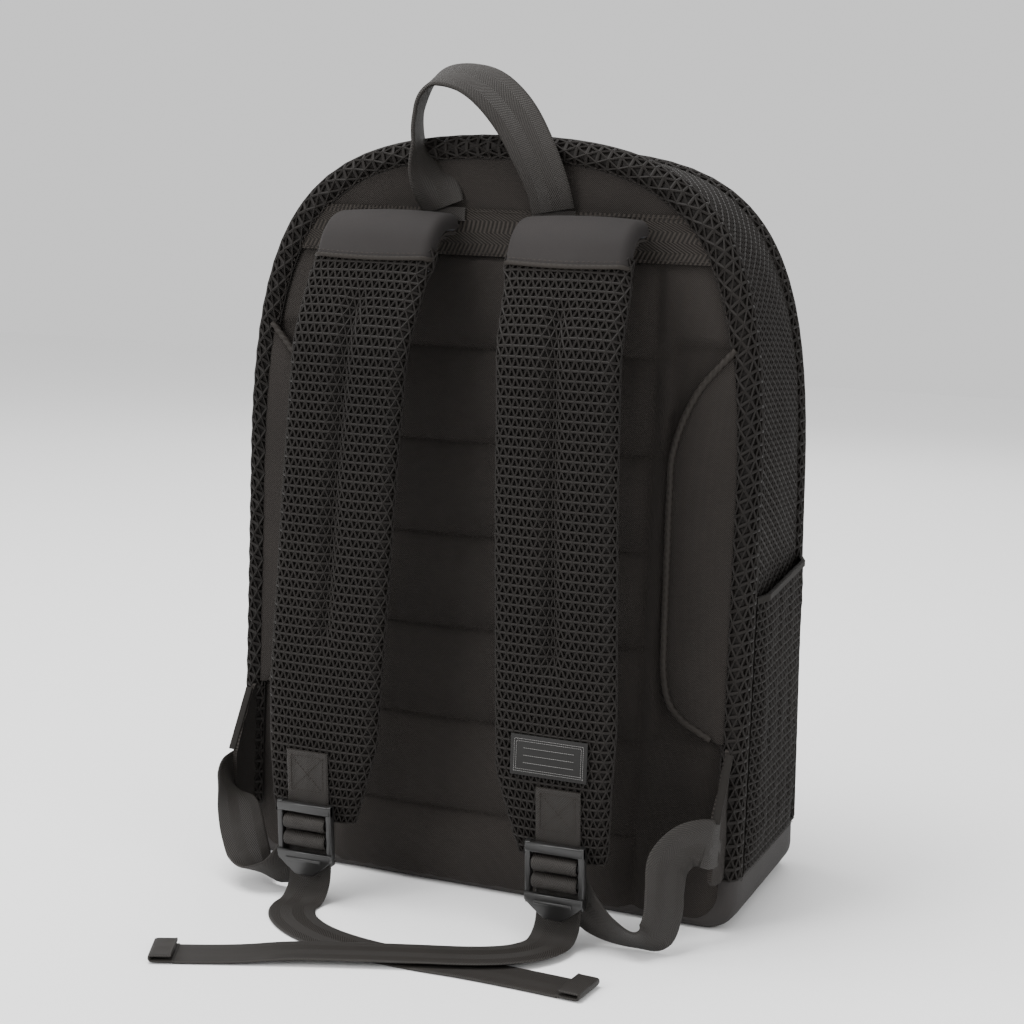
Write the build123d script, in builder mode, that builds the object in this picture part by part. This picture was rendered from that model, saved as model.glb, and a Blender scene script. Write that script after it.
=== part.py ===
"""School backpack: D-shaped mesh daypack with a quilted back, two padded shoulder straps,
a carry handle, side pockets and a clamshell front flap.

Millimetres. +Z is up, the origin is the centre of the base on the floor, +Y is the
wearer's side (shoulder straps) and -Y is the front (zips and front pocket).
Left and right are the wearer's: left is -X and right is +X.
"""
import os
from math import atan, cos, radians, sin, tan

from build123d import *

# ---------------------------------------------------------------- driving dimensions
BODY_HEIGHT = 432.0  # floor to the top of the rear rim
REAR_HALF_WIDTH = 151.0  # mesh gusset at the rear rim
FRONT_HALF_WIDTH = 144.0  # mesh gusset at the front rim
REAR_Y = 62.0  # rear end of the gusset
FRONT_Y = -71.0  # front face at the floor
FRONT_SETBACK = 36.0  # how far the front face leans back over the body height
SHOULDER = 0.57  # share of the height below which the sides are straight
ARCH_RISE = 0.80  # fullness of the arch up the side
ARCH_REACH = 0.77  # fullness of the arch along the top
GUSSET_WALL = 4.0
RIM_PROUD = 6.0  # rim roll outside the gusset
RIM_WIDTH = 15.0
RIM_DEPTH = 18.0
BASE_RADIUS = 16.0
BOOT_HEIGHT = 30.0
BOOT_PROUD = 4.0
BOOT_WALL = 5.0

PAD_DEPTH = 10.0  # quilted back pad
PAD_SETBACK = 4.0  # pad's rear of the gusset end
BAND_LOW = 365.0  # anchor band across the back
WEBBING = 26.0  # width of all webbing
WEBBING_THICK = 1.6
SIDE_PANEL_THICK = 3.0
SIDE_PANEL_TOP = 322.0
SIDE_PANEL_LOW = 106.0
SIDE_PANEL_INNER = 108.0
PIPING_RADIUS = 2.0

FRAME_WIDTH = 12.0  # fixed cloth border between the front rim and the zip
TAPE_WIDTH = 8.0
TAPE_GAP = 0.8  # the zip's parting line
SHEET = 4.0  # padded front cloth
FLAP_FOLD = 95.0  # where the front flap folds open
POCKET_HALF_WIDTH = 95.0
POCKET_LOW = 108.0
POCKET_TOP = 325.0
POCKET_DEPTH = 18.0
POCKET_WALL = 2.0
POCKET_ZIP = 296.0
POCKET_ZIP_HALF = 78.0
ZIP_SLOT = 9.0

SIDE_POCKET_GAP = 6.4
SIDE_POCKET_WALL = 1.6
SIDE_POCKET_REAR = 186.0
SIDE_POCKET_FRONT = 203.0
SIDE_POCKET_SEAM = 4.0
BINDING = 5.0

STRAP_THICK = 12.0
STRAP_SKIN = 1.4
STRAP_ROOT_Z = 381.0
STRAP_BEND_Y = 104.0
STRAP_END = (131.0, 46.0)
ROOT_TONGUE = 7.4
CAP_THICK = 1.2

BUCKLE_WIDTH = 34.0
BUCKLE_RAIL = 3.2
BAR_RADIUS = 2.2
BAR_PITCH = 10.0
BAR_OUT = STRAP_THICK / 2 + 4.6  # bars' distance from the strap's middle surface
RUNNING = 0.4  # clearance of a webbing loop on a bar
BUCKLE_X = 76.0

HANDLE_HALF_GAP = 21.0
HANDLE_SHOULDER = 36.0
HANDLE_SLOT = 45.0
HANDLE_THICK = 2.4
HANDLE_LEAN = 12.0  # degrees
CLEAR = 0.4  # between a moving cloth part and what it lies on

# ---------------------------------------------------------------- values that follow
LEAN = atan(FRONT_SETBACK / BODY_HEIGHT)
RIM_HALF_WIDTH = REAR_HALF_WIDTH + RIM_PROUD
FRONT_RIM_HALF_WIDTH = FRONT_HALF_WIDTH + RIM_PROUD
GUSSET_HEIGHT = BODY_HEIGHT - RIM_PROUD
INNER_HALF_WIDTH = RIM_HALF_WIDTH - RIM_WIDTH
INNER_TOP = BODY_HEIGHT - RIM_WIDTH
PAD_Y = REAR_Y + PAD_SETBACK
BACK_Y = PAD_Y + PAD_DEPTH  # outer face of the quilted back
BAND_TOP = BAND_LOW + WEBBING
SIDES = (("left", -1), ("right", 1))

front_plane = Plane(
    origin=(0, FRONT_Y, 0), x_dir=(1, 0, 0), z_dir=(0, -cos(LEAN), sin(LEAN))
)


def rear_plane(y):
    """A sketch plane across the bag: local x is X and local y is Z; extrude(-t) goes to +Y."""
    return Plane.XZ.offset(-y)


def pack_outline(half_width, top, low, radius):
    """The D of the bag: flat base, rounded lower corners, straight sides and a full arch."""
    shoulder = low + SHOULDER * (top - low)
    rise = shoulder + ARCH_RISE * (top - shoulder)
    reach = ARCH_REACH * half_width
    with BuildLine() as edge:
        Polyline((-half_width, shoulder), (-half_width, low), (half_width, low), (half_width, shoulder))
        Bezier((half_width, shoulder), (half_width, rise), (reach, top), (0, top))
        Bezier((0, top), (-reach, top), (-half_width, rise), (-half_width, shoulder))
    make_face(edge.edges())
    fillet(vertices().group_by(Axis.Y)[0], radius)


def front_outline(inset, low=0.0):
    """The same D on the front plane, inset from the front rim's outer edge."""
    pack_outline(FRONT_RIM_HALF_WIDTH - inset, BODY_HEIGHT - inset, low, BASE_RADIUS)


def keep_between(low, high):
    """Keep only the part of the current solid between two heights."""
    with Locations((0, 0, (low + high) / 2)):
        Box(900, 900, high - low, mode=Mode.INTERSECT)


def keep_above_fold(amount):
    """Keep only what lies above the flap's fold, measured up the front plane."""
    with BuildSketch(front_plane) as region:
        with Locations((0, amount + 300)):
            Rectangle(600, 600)
    extrude(region.sketch, amount=60, both=True, mode=Mode.INTERSECT)


pieces = {}


def finish(name, builder):
    """Name a finished piece and keep it for export."""
    builder.part.label = name
    pieces[name] = builder.part


# ================================================================ main shell
def gusset_loft(grow, mode=Mode.ADD, low=0.0, rear=REAR_Y, front=-14.0):
    """A solid with the gusset's outer shape, grown or shrunk, for shells to be cut from."""
    with BuildSketch(rear_plane(rear)) as rear_end:
        pack_outline(REAR_HALF_WIDTH + grow, GUSSET_HEIGHT + grow, low, BASE_RADIUS)
    with BuildSketch(front_plane.offset(front)) as front_end:
        pack_outline(FRONT_HALF_WIDTH + grow, GUSSET_HEIGHT + grow, low, BASE_RADIUS)
    loft((rear_end.sketch, front_end.sketch), mode=mode)


with BuildPart() as gusset:
    gusset_loft(0)
    gusset_loft(-GUSSET_WALL, mode=Mode.SUBTRACT)
    keep_between(BOOT_HEIGHT, BODY_HEIGHT)
finish("gusset", gusset)



def boot_sketch(plane, half_width, low):
    """One end of the boot: open at the top, with rounded lower corners."""
    with BuildSketch(plane) as end:
        with Locations((0, (BOOT_HEIGHT + 40 + low) / 2)):
            Rectangle(2 * half_width, BOOT_HEIGHT + 40 - low)
        fillet(vertices().group_by(Axis.Y)[0], BASE_RADIUS - low)
    return end.sketch


with BuildPart() as base_boot:
    boot_inset = BOOT_PROUD - BOOT_WALL
    loft((
        boot_sketch(rear_plane(PAD_Y), REAR_HALF_WIDTH + BOOT_PROUD, 0),
        boot_sketch(front_plane.offset(-2), FRONT_HALF_WIDTH + BOOT_PROUD, 0),
    ))
    loft((
        boot_sketch(rear_plane(PAD_Y - 3), REAR_HALF_WIDTH + boot_inset, BOOT_WALL),
        boot_sketch(front_plane.offset(-2 - BOOT_WALL), FRONT_HALF_WIDTH + boot_inset, BOOT_WALL),
    ), mode=Mode.SUBTRACT)
    keep_between(0, BOOT_HEIGHT)
finish("base_boot", base_boot)

with BuildPart() as base_board:
    with Locations((0, -2, BOOT_WALL + 1.7)):
        Box(2 * FRONT_HALF_WIDTH - 36, 112, 3)
    fillet(base_board.edges().filter_by(Axis.Z), 10)
finish("base_board", base_board)

with BuildPart() as rear_rim:
    with BuildSketch(rear_plane(REAR_Y)):
        pack_outline(RIM_HALF_WIDTH, BODY_HEIGHT, 0, BASE_RADIUS)
    extrude(amount=-RIM_DEPTH)
    with BuildSketch(rear_plane(REAR_Y)):
        pack_outline(INNER_HALF_WIDTH, INNER_TOP, 0, BASE_RADIUS)
    extrude(amount=-RIM_DEPTH, mode=Mode.SUBTRACT)
    keep_between(BOOT_HEIGHT + 2, BODY_HEIGHT)
finish("rear_rim", rear_rim)

with BuildPart() as front_rim:
    with BuildSketch(front_plane.offset(-14)):
        front_outline(0)
    extrude(amount=17)
    with BuildSketch(front_plane.offset(-14)):
        front_outline(RIM_WIDTH)
    extrude(amount=17, mode=Mode.SUBTRACT)
    keep_between(BOOT_HEIGHT + 2, 2 * BODY_HEIGHT)
finish("front_rim", front_rim)


# ================================================================ back face
def back_slab(name, low, high, start, depth):
    """A slab of the back inside the rear rim, between two heights."""
    with BuildPart() as slab:
        with BuildSketch(rear_plane(start)):
            pack_outline(INNER_HALF_WIDTH, INNER_TOP, 0, BASE_RADIUS)
        extrude(amount=-depth)
        keep_between(low, high)
    finish(name, slab)


back_slab("back_panel", 2.0, BAND_LOW, PAD_Y, PAD_DEPTH)
back_slab("anchor_band", BAND_LOW, BAND_TOP, PAD_Y, PAD_DEPTH)
back_slab("yoke_panel", BAND_TOP, BODY_HEIGHT, PAD_Y, PAD_DEPTH - 1)

with BuildPart() as back_stiffener:
    with BuildSketch(rear_plane(REAR_Y + 0.5)):
        pack_outline(INNER_HALF_WIDTH - 3, INNER_TOP - 3, BOOT_HEIGHT + 1, BASE_RADIUS)
    extrude(amount=-2)
finish("back_stiffener", back_stiffener)


def side_route(side):
    """The curved seam between the quilted back and a smooth side panel."""
    edge = INNER_HALF_WIDTH + 1
    inner = SIDE_PANEL_INNER
    return FilletPolyline(
        (side * edge, SIDE_PANEL_TOP),
        (side * (inner + 14), SIDE_PANEL_TOP - 26),
        (side * inner, SIDE_PANEL_TOP - 60),
        (side * (inner + 1), SIDE_PANEL_LOW + 30),
        (side * (inner + 14), SIDE_PANEL_LOW + 11),
        (side * edge, SIDE_PANEL_LOW),
        radius=(16, 30, 14, 12),
    )


def piping_sweep(side, radius, mode=Mode.ADD):
    """A round cord along the side panel's seam."""
    with BuildLine(rear_plane(BACK_Y + PIPING_RADIUS + 0.05)) as seam_line:
        side_route(side)
    seam = seam_line.line
    with BuildSketch(Plane(origin=seam @ 0, z_dir=seam % 0)) as section:
        Circle(radius)
    sweep(section.sketch, path=seam, mode=mode)


def keep_inside_rim():
    """Trim the current solid just inside the rear rim."""
    with BuildSketch(rear_plane(REAR_Y)) as region:
        pack_outline(INNER_HALF_WIDTH - 0.1, INNER_TOP - 0.1, 0, BASE_RADIUS)
    extrude(region.sketch, amount=-60, mode=Mode.INTERSECT)


for name, side in SIDES:
    with BuildPart() as side_panel:
        with BuildSketch(rear_plane(BACK_Y)):
            with BuildLine():
                seam = side_route(side)
                Line(seam @ 0, seam @ 1)
            make_face()
        extrude(amount=-SIDE_PANEL_THICK)
        piping_sweep(side, PIPING_RADIUS + 0.2, mode=Mode.SUBTRACT)
        keep_inside_rim()
    finish(f"side_panel_{name}", side_panel)

    with BuildPart() as side_piping:
        piping_sweep(side, PIPING_RADIUS)
        keep_inside_rim()
    finish(f"side_piping_{name}", side_piping)

    # folded triangular wing that carries the adjuster webbing
    with BuildPart() as wing:
        with BuildSketch(Plane.YZ.offset(side * (REAR_HALF_WIDTH - 1.5))):
            rear = REAR_Y + RIM_DEPTH
            with BuildLine():
                Polyline((rear, 105), (rear + 20, 68), (rear + 20, 36), (rear, 33), (rear, 105))
            make_face()
        extrude(amount=1.5, both=True)
    finish(f"wing_{name}", wing)

    # mesh bottle pocket on the side of the gusset
    with BuildPart() as side_pocket:
        gusset_loft(SIDE_POCKET_GAP + SIDE_POCKET_WALL)
        gusset_loft(0.05, mode=Mode.SUBTRACT)
        with BuildSketch(Plane.YZ):
            with BuildLine():
                Polyline(
                    (REAR_Y - 1, BOOT_HEIGHT + 0.5), (REAR_Y - 1, SIDE_POCKET_REAR),
                    (FRONT_Y + 28, SIDE_POCKET_FRONT), (FRONT_Y + 19, BOOT_HEIGHT + 0.5),
                    (REAR_Y - 1, BOOT_HEIGHT + 0.5),
                )
            make_face()
        extrude(amount=side * 300, mode=Mode.INTERSECT)
    with BuildPart() as pocket_space:
        gusset_loft(SIDE_POCKET_GAP)
        with BuildSketch(Plane.YZ):
            with BuildLine():
                Polyline(
                    (REAR_Y - 1 - SIDE_POCKET_SEAM, BOOT_HEIGHT + 5), (REAR_Y - 1 - SIDE_POCKET_SEAM, 300),
                    (FRONT_Y + 33 + SIDE_POCKET_SEAM, 300), (FRONT_Y + 19 + SIDE_POCKET_SEAM, BOOT_HEIGHT + 5),
                    (REAR_Y - 1 - SIDE_POCKET_SEAM, BOOT_HEIGHT + 5),
                )
            make_face()
        extrude(amount=side * 300, mode=Mode.INTERSECT)
    with side_pocket:
        add(pocket_space.part, mode=Mode.SUBTRACT)
    finish(f"side_pocket_{name}", side_pocket)

    # elastic binding along the pocket's mouth
    with BuildPart() as pocket_binding:
        gusset_loft(SIDE_POCKET_GAP + SIDE_POCKET_WALL + 0.8)
        gusset_loft(SIDE_POCKET_GAP, mode=Mode.SUBTRACT)
        with BuildSketch(Plane.YZ):
            with BuildLine():
                Polyline(
                    (REAR_Y - 1, SIDE_POCKET_REAR), (REAR_Y - 1, SIDE_POCKET_REAR + BINDING),
                    (FRONT_Y + 28, SIDE_POCKET_FRONT + BINDING), (FRONT_Y + 28, SIDE_POCKET_FRONT),
                    (REAR_Y - 1, SIDE_POCKET_REAR),
                )
            make_face()
        extrude(amount=side * 300, mode=Mode.INTERSECT)
    finish(f"pocket_binding_{name}", pocket_binding)

# ================================================================ inside
SLEEVE_HALF_WIDTH = 128.0
SLEEVE_TOP = 330.0
SLEEVE_DEPTH = 24.0
with BuildPart() as laptop_sleeve:
    with Locations((0, REAR_Y - SLEEVE_DEPTH / 2, (SLEEVE_TOP + 14) / 2)):
        Box(2 * SLEEVE_HALF_WIDTH, SLEEVE_DEPTH, SLEEVE_TOP - 14)
    with Locations((0, REAR_Y - SLEEVE_DEPTH / 2 + 4, (SLEEVE_TOP + 18) / 2)):
        Box(2 * SLEEVE_HALF_WIDTH - 8, SLEEVE_DEPTH, SLEEVE_TOP - 18, mode=Mode.SUBTRACT)
finish("laptop_sleeve", laptop_sleeve)


# ================================================================ front face
def front_ring(name, outer, inner, back, thick):
    """An arched strip of the front between two insets, above the flap's fold."""
    with BuildPart() as ring:
        with BuildSketch(front_plane.offset(back)):
            front_outline(outer)
        extrude(amount=thick)
        with BuildSketch(front_plane.offset(back)):
            front_outline(inner)
        extrude(amount=thick, mode=Mode.SUBTRACT)
        keep_above_fold(FLAP_FOLD)
    finish(name, ring)


zip_inset = RIM_WIDTH + FRAME_WIDTH
flap_inset = zip_inset + 2 * TAPE_WIDTH + TAPE_GAP
front_ring("front_frame", RIM_WIDTH, zip_inset, -6, SHEET)
front_ring("main_zip_tape", zip_inset, zip_inset + TAPE_WIDTH, -5, WEBBING_THICK)
front_ring("flap_zip_tape", zip_inset + TAPE_WIDTH + TAPE_GAP, flap_inset, -5, WEBBING_THICK)

with BuildPart() as flap_panel:
    with BuildSketch(front_plane.offset(-6)):
        front_outline(flap_inset)
    extrude(amount=SHEET)
    keep_above_fold(FLAP_FOLD + 1)
finish("flap_panel", flap_panel)

with BuildPart() as lower_front:
    with BuildSketch(front_plane.offset(-6)):
        with Locations((0, (FLAP_FOLD - 0.3 + BOOT_HEIGHT + 2) / 2)):
            Rectangle(2 * (FRONT_RIM_HALF_WIDTH - RIM_WIDTH), FLAP_FOLD - 0.3 - BOOT_HEIGHT - 2)
    extrude(amount=SHEET)
finish("lower_front", lower_front)

pocket_mid = (POCKET_LOW + POCKET_TOP) / 2
with BuildPart() as front_pocket:
    with BuildSketch(front_plane.offset(-2)):
        with Locations((0, pocket_mid)):
            RectangleRounded(2 * POCKET_HALF_WIDTH, POCKET_TOP - POCKET_LOW, 30)
    extrude(amount=POCKET_DEPTH)
    fillet(front_pocket.faces().sort_by(Axis.Y)[0].edges(), 6)
    with BuildSketch(front_plane.offset(-2 + POCKET_WALL)):
        with Locations((0, pocket_mid)):
            RectangleRounded(
                2 * (POCKET_HALF_WIDTH - POCKET_WALL), POCKET_TOP - POCKET_LOW - 2 * POCKET_WALL, 28
            )
    extrude(amount=POCKET_DEPTH - 2 * POCKET_WALL, mode=Mode.SUBTRACT)
    with BuildSketch(front_plane.offset(POCKET_DEPTH - 2 - POCKET_WALL - 1)):
        with Locations((0, POCKET_ZIP)):
            Rectangle(2 * POCKET_ZIP_HALF, ZIP_SLOT)
    extrude(amount=POCKET_WALL + 4, mode=Mode.SUBTRACT)
finish("front_pocket", front_pocket)

pocket_face = POCKET_DEPTH - 2
with BuildPart() as pocket_zip_tape:
    with BuildSketch(front_plane.offset(pocket_face - 1.8)):
        with Locations((0, POCKET_ZIP)):
            Rectangle(2 * POCKET_ZIP_HALF, ZIP_SLOT)
    extrude(amount=WEBBING_THICK)
finish("pocket_zip_tape", pocket_zip_tape)

# zip sliders and their pulls: (name, x, height up the face, height of the tape's face)
SLIDER = (9.0, 8.0, 4.6)
BAIL_RADIUS = 0.9
PULL = (8.0, 30.0, 1.6)
zip_line = BODY_HEIGHT - zip_inset - TAPE_WIDTH - TAPE_GAP / 2
slider_places = (
    ("main_zip_left", -9.0, zip_line, -5 + WEBBING_THICK),
    ("main_zip_right", 9.0, zip_line, -5 + WEBBING_THICK),
    ("pocket_zip", -POCKET_ZIP_HALF + 8, POCKET_ZIP, pocket_face),
)
for name, x, up, face in slider_places:
    low = face + 0.25
    bail = low + SLIDER[2] + 2.3
    with BuildPart() as slider:
        with BuildSketch(front_plane.offset(low)):
            with Locations((x, up)):
                RectangleRounded(SLIDER[0], SLIDER[1], 2)
        extrude(amount=SLIDER[2])
        with BuildSketch(front_plane.offset(low + SLIDER[2] - 0.1)):
            with Locations((x - 3.4, up), (x + 3.4, up)):
                Rectangle(1.2, 3)
        extrude(amount=3.6)
        with BuildSketch(Plane.YZ.offset(x)):
            centre = front_plane.from_local_coords((x, up, bail))
            with Locations((centre.Y, centre.Z)):
                Circle(BAIL_RADIUS)
        extrude(amount=3.2, both=True)
    finish(f"{name}_slider", slider)
    with BuildPart() as pull:
        with BuildSketch(front_plane.offset(bail - PULL[2] / 2)):
            with Locations((x, up - PULL[1] / 2 + 1.9)):
                RectangleRounded(PULL[0] - 2.6, PULL[1], 1.2)
            with Locations((x, up - PULL[1] / 2 - 3)):
                RectangleRounded(PULL[0], PULL[1] - 10, 2)
        extrude(amount=PULL[2])
        with BuildSketch(Plane.YZ.offset(x)):
            with Locations((centre.Y, centre.Z)):
                Circle(BAIL_RADIUS + 0.2)
        extrude(amount=5, both=True, mode=Mode.SUBTRACT)
        with BuildSketch(Plane.YZ.offset(x)):
            with Locations((centre.Y, centre.Z)):
                Circle(BAIL_RADIUS + 1.1)
                Circle(BAIL_RADIUS + 0.2, mode=Mode.SUBTRACT)
        extrude(amount=2.7, both=True)
    finish(f"{name}_pull", pull)

# ================================================================ carry handle
handle_plane = Plane(
    origin=(0, REAR_Y + RIM_DEPTH - 3.2, BAND_TOP + 0.5),  # just clears the rim when it leans in
    x_dir=(1, 0, 0),
    z_dir=(0, -cos(radians(HANDLE_LEAN)), sin(radians(HANDLE_LEAN))),
)
with BuildPart() as carry_handle:
    with BuildSketch(handle_plane):
        outer = HANDLE_HALF_GAP + WEBBING
        with Locations((0, HANDLE_SHOULDER / 2)):
            Rectangle(2 * outer, HANDLE_SHOULDER)
        with Locations((0, HANDLE_SHOULDER)):
            Circle(outer)
        with Locations((0, HANDLE_SLOT / 2)):
            Rectangle(2 * HANDLE_HALF_GAP, HANDLE_SLOT, mode=Mode.SUBTRACT)
        with Locations((0, HANDLE_SLOT)):
            Circle(HANDLE_HALF_GAP, mode=Mode.SUBTRACT)
        with Locations((0, -50)):
            Rectangle(200, 100, mode=Mode.SUBTRACT)
    extrude(amount=-HANDLE_THICK)
finish("carry_handle", carry_handle)

# ================================================================ shoulder straps
ROOT_Y = BACK_Y + ROOT_TONGUE
LOWER_BEND = (135.0, 86.0)
UPPER_BEND = (131.0, 318.0)
MIDDLE = (134.0, 240.0)


def strap_path(*ends):
    """The strap's middle surface, seen from the side, through the given (y, z) points."""
    points = [(0, y, z) for y, z in ((ROOT_Y, STRAP_ROOT_Z), (STRAP_BEND_Y, STRAP_ROOT_Z)) + ends]
    radii = (19, 60, 300, 120)[: len(points) - 2]
    return FilletPolyline(*points, radius=radii)


def strap_layer(ends, x, width, low, thick):
    """Sweep one flat layer of the strap; low is its distance above the middle surface."""
    with BuildLine():
        path = strap_path(*ends)
    with BuildSketch(Plane(origin=path @ 0, x_dir=(1, 0, 0), z_dir=(0, 1, 0))) as section:
        with Locations((x, -(low + thick / 2))):
            Rectangle(width, thick)
    sweep(section.sketch, path=path)


def strap_face(side, trim=0.0):
    """Trim the current solid to the strap's outline as the wearer's back would see it."""
    outer = ((92, 400), (94, 350), (98, 240), (103 - trim, 120), (100 - trim, 46))
    inner = ((52 + trim, 46), (38 + trim, 92), (34, 180), (29, 300), (21, 400))
    with BuildSketch(Plane.XZ) as outline:
        with BuildLine() as edge:
            Spline(*[(side * x, z) for x, z in outer])
            Line((side * outer[-1][0], 46), (side * inner[0][0], 46))
            Spline(*[(side * x, z) for x, z in inner])
            Line((side * inner[-1][0], 400), (side * outer[0][0], 400))
        make_face(edge.edges())
    extrude(outline.sketch, amount=300, both=True, mode=Mode.INTERSECT)


full_length = (UPPER_BEND, MIDDLE, LOWER_BEND, STRAP_END)
# the cap stops part way down the first slope
slope = [(b - a) for a, b in zip((STRAP_BEND_Y, STRAP_ROOT_Z), UPPER_BEND)]
cap_length = ((STRAP_BEND_Y + 0.32 * slope[0], STRAP_ROOT_Z + 0.32 * slope[1]),)
patch_length = ((STRAP_BEND_Y + 0.8 * slope[0], STRAP_ROOT_Z + 0.8 * slope[1]),)

# the local frame of the buckle: up the lower strap, and outwards from it
lower_run = Vector(0, LOWER_BEND[0] - STRAP_END[0], LOWER_BEND[1] - STRAP_END[1]).normalized()
outward = Vector(0, lower_run.Z, -lower_run.Y)
tab_height = 74.0
tab_y = STRAP_END[0] + (tab_height - STRAP_END[1]) * (lower_run.Y / lower_run.Z)
half = STRAP_THICK / 2


def buckle_plane(x):
    """Local x runs up the strap and local y outwards, so sketches here are side profiles."""
    return Plane(origin=(x, tab_y, tab_height), x_dir=lower_run, z_dir=(-1, 0, 0))


def face_plane(x, out):
    """Local x is X and local y runs up the strap; extrude(-t) goes outwards."""
    origin = Vector(x, tab_y, tab_height) + outward * out
    return Plane(origin=origin, x_dir=(1, 0, 0), z_dir=outward * -1)


def webbing_loop(x, bar, end):
    """A webbing end that lies flat, then wraps a buckle bar."""
    back = BAR_OUT - BAR_RADIUS - RUNNING - 2
    with BuildSketch(buckle_plane(x)) as profile:
        with Locations((bar, BAR_OUT)):
            Circle(BAR_OUT - back)
        with Locations(((bar + end) / 2, back + 1)):
            Rectangle(abs(end - bar), 2)
        with Locations((bar, BAR_OUT)):
            Circle(BAR_OUT - back - 2, mode=Mode.SUBTRACT)
    extrude(profile.sketch, amount=WEBBING / 2, both=True)


first_bar = -27.0
second_bar = first_bar - BAR_PITCH
for name, side in SIDES:
    x = side * BUCKLE_X
    middle = side * 64
    with BuildPart() as strap_pad:
        strap_layer(full_length, middle, 110, STRAP_SKIN - half, STRAP_THICK - 2 * STRAP_SKIN)
        strap_face(side, trim=1.0)
    finish(f"strap_pad_{name}", strap_pad)

    with BuildPart() as strap_mesh:
        strap_layer(full_length, middle, 110, half - STRAP_SKIN, STRAP_SKIN)
        strap_face(side)
    finish(f"strap_mesh_{name}", strap_mesh)

    with BuildPart() as strap_backing:
        strap_layer(full_length, middle, 110, -half, STRAP_SKIN)
        strap_face(side)
    finish(f"strap_backing_{name}", strap_backing)

    with BuildPart() as strap_cap:
        strap_layer(cap_length, middle, 110, half, CAP_THICK)
        strap_face(side)
    finish(f"strap_cap_{name}", strap_cap)

    with BuildPart() as strap_patch:
        strap_layer(patch_length, middle, 110, -half - CAP_THICK, CAP_THICK)
        strap_face(side)
    finish(f"strap_patch_{name}", strap_patch)

    with BuildPart() as strap_root:
        with Locations((side * 56.5, (BACK_Y + CLEAR + ROOT_Y) / 2, STRAP_ROOT_Z)):
            Box(68, ROOT_TONGUE - CLEAR, 2.4)
        fillet(strap_root.edges().filter_by(Axis.X).group_by(Axis.Y)[0], 1.1)
    finish(f"strap_root_{name}", strap_root)

    with BuildPart() as buckle_tab:
        webbing_loop(x, first_bar, 14)
    finish(f"buckle_tab_{name}", buckle_tab)

    # ladder-lock buckle
    with BuildPart() as ladder_lock:
        with BuildSketch(face_plane(x, BAR_OUT - 2.2)):
            with Locations((0, (first_bar + 11 + second_bar - 9) / 2)):
                Rectangle(BUCKLE_WIDTH, 11 + BAR_PITCH + 9)
                Rectangle(BUCKLE_WIDTH - 2 * BUCKLE_RAIL, 11 + BAR_PITCH + 9, mode=Mode.SUBTRACT)
        extrude(amount=-4.4)
        with BuildSketch(face_plane(x, BAR_OUT - 1.4)):
            with Locations((0, first_bar + 8.7)):
                Rectangle(BUCKLE_WIDTH, 4.6)
        extrude(amount=-4.0)
        with BuildSketch(face_plane(x, BAR_OUT + 1.4)):
            with BuildLine():
                wide = BUCKLE_WIDTH / 2
                top = second_bar - 6.5
                Polyline(
                    (-wide, top), (wide, top), (wide, top - 4), (5, top - 14), (-5, top - 14),
                    (-wide, top - 4), (-wide, top),
                )
            make_face()
        extrude(amount=-2.4)
        with BuildSketch(buckle_plane(x)):
            with Locations((first_bar, BAR_OUT), (second_bar, BAR_OUT)):
                Circle(BAR_RADIUS)
        extrude(amount=BUCKLE_WIDTH / 2 - 1, both=True)
    finish(f"ladder_lock_{name}", ladder_lock)

    with BuildPart() as webbing_wrap:
        webbing_loop(x, second_bar, second_bar - 13)
    finish(f"webbing_wrap_{name}", webbing_wrap)

# blank woven label on the wearer's left strap
with BuildPart() as strap_label:
    with BuildSketch(rear_plane(LOWER_BEND[0] + half + 0.15)):
        with Locations((-70, 103.5)):
            Rectangle(44, 22)
    extrude(amount=-0.8)
finish("strap_label", strap_label)

# ================================================================ webbing below the buckles
exit_point = (
    Vector(0, tab_y, tab_height)
    + lower_run * (second_bar - 13.6)
    + outward * (BAR_OUT - BAR_RADIUS - RUNNING - 1)
)
LAY = 0.2 + WEBBING_THICK / 2  # height of the webbing's middle when it lies on the floor
LIFT = LAY + 3.2  # the same where one tail crosses over the other
wing_edge = REAR_Y + RIM_DEPTH + 20.2


def flat_webbing(points, across, thick=WEBBING_THICK):
    """Sweep webbing along a route of straight runs and tangent arcs, as wide as the runs allow."""
    places = [Vector(*p) for p in points]
    runs = [b - a for a, b in zip(places, places[1:])]
    radii = [
        0.45 * min(a.length, b.length) / tan(radians(a.get_angle(b)) / 2)
        for a, b in zip(runs, runs[1:])
    ]
    with BuildLine():
        route = FilletPolyline(*points, radius=radii)
    with BuildSketch(Plane(origin=route @ 0, x_dir=across, z_dir=route % 0)) as section:
        Rectangle(WEBBING, thick)
    sweep(section.sketch, path=route)
    return route, radii


leg_end = exit_point - lower_run * 10
adjuster_route = (
    (149.5, wing_edge, 52), (149.5, wing_edge + 14, 52), (140, wing_edge + 31, 36),
    (120, wing_edge + 36, 20), (97, wing_edge + 36, 17),
)
tail_routes = {
    "right": (
        (BUCKLE_X, exit_point.Y, exit_point.Z), (BUCKLE_X, leg_end.Y, leg_end.Z), (BUCKLE_X, 142, LAY),
        (BUCKLE_X, 156, LAY), (66, 172, LAY), (46, 186, LAY), (18, 194, LAY), (-18, 196, LAY),
        (-62, 192, LAY), (-106, 194, LAY),
    ),
    "left": (
        (-BUCKLE_X, exit_point.Y, exit_point.Z), (-BUCKLE_X, leg_end.Y, leg_end.Z), (-BUCKLE_X, 142, LIFT),
        (-BUCKLE_X, 155, LIFT), (-67, 171, LIFT), (-48, 184, LIFT), (-20, 195, LIFT), (14, 210, LIFT),
        (40, 222, LIFT), (66, 234.5, LAY), (92, 247, LAY),
    ),
}
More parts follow.
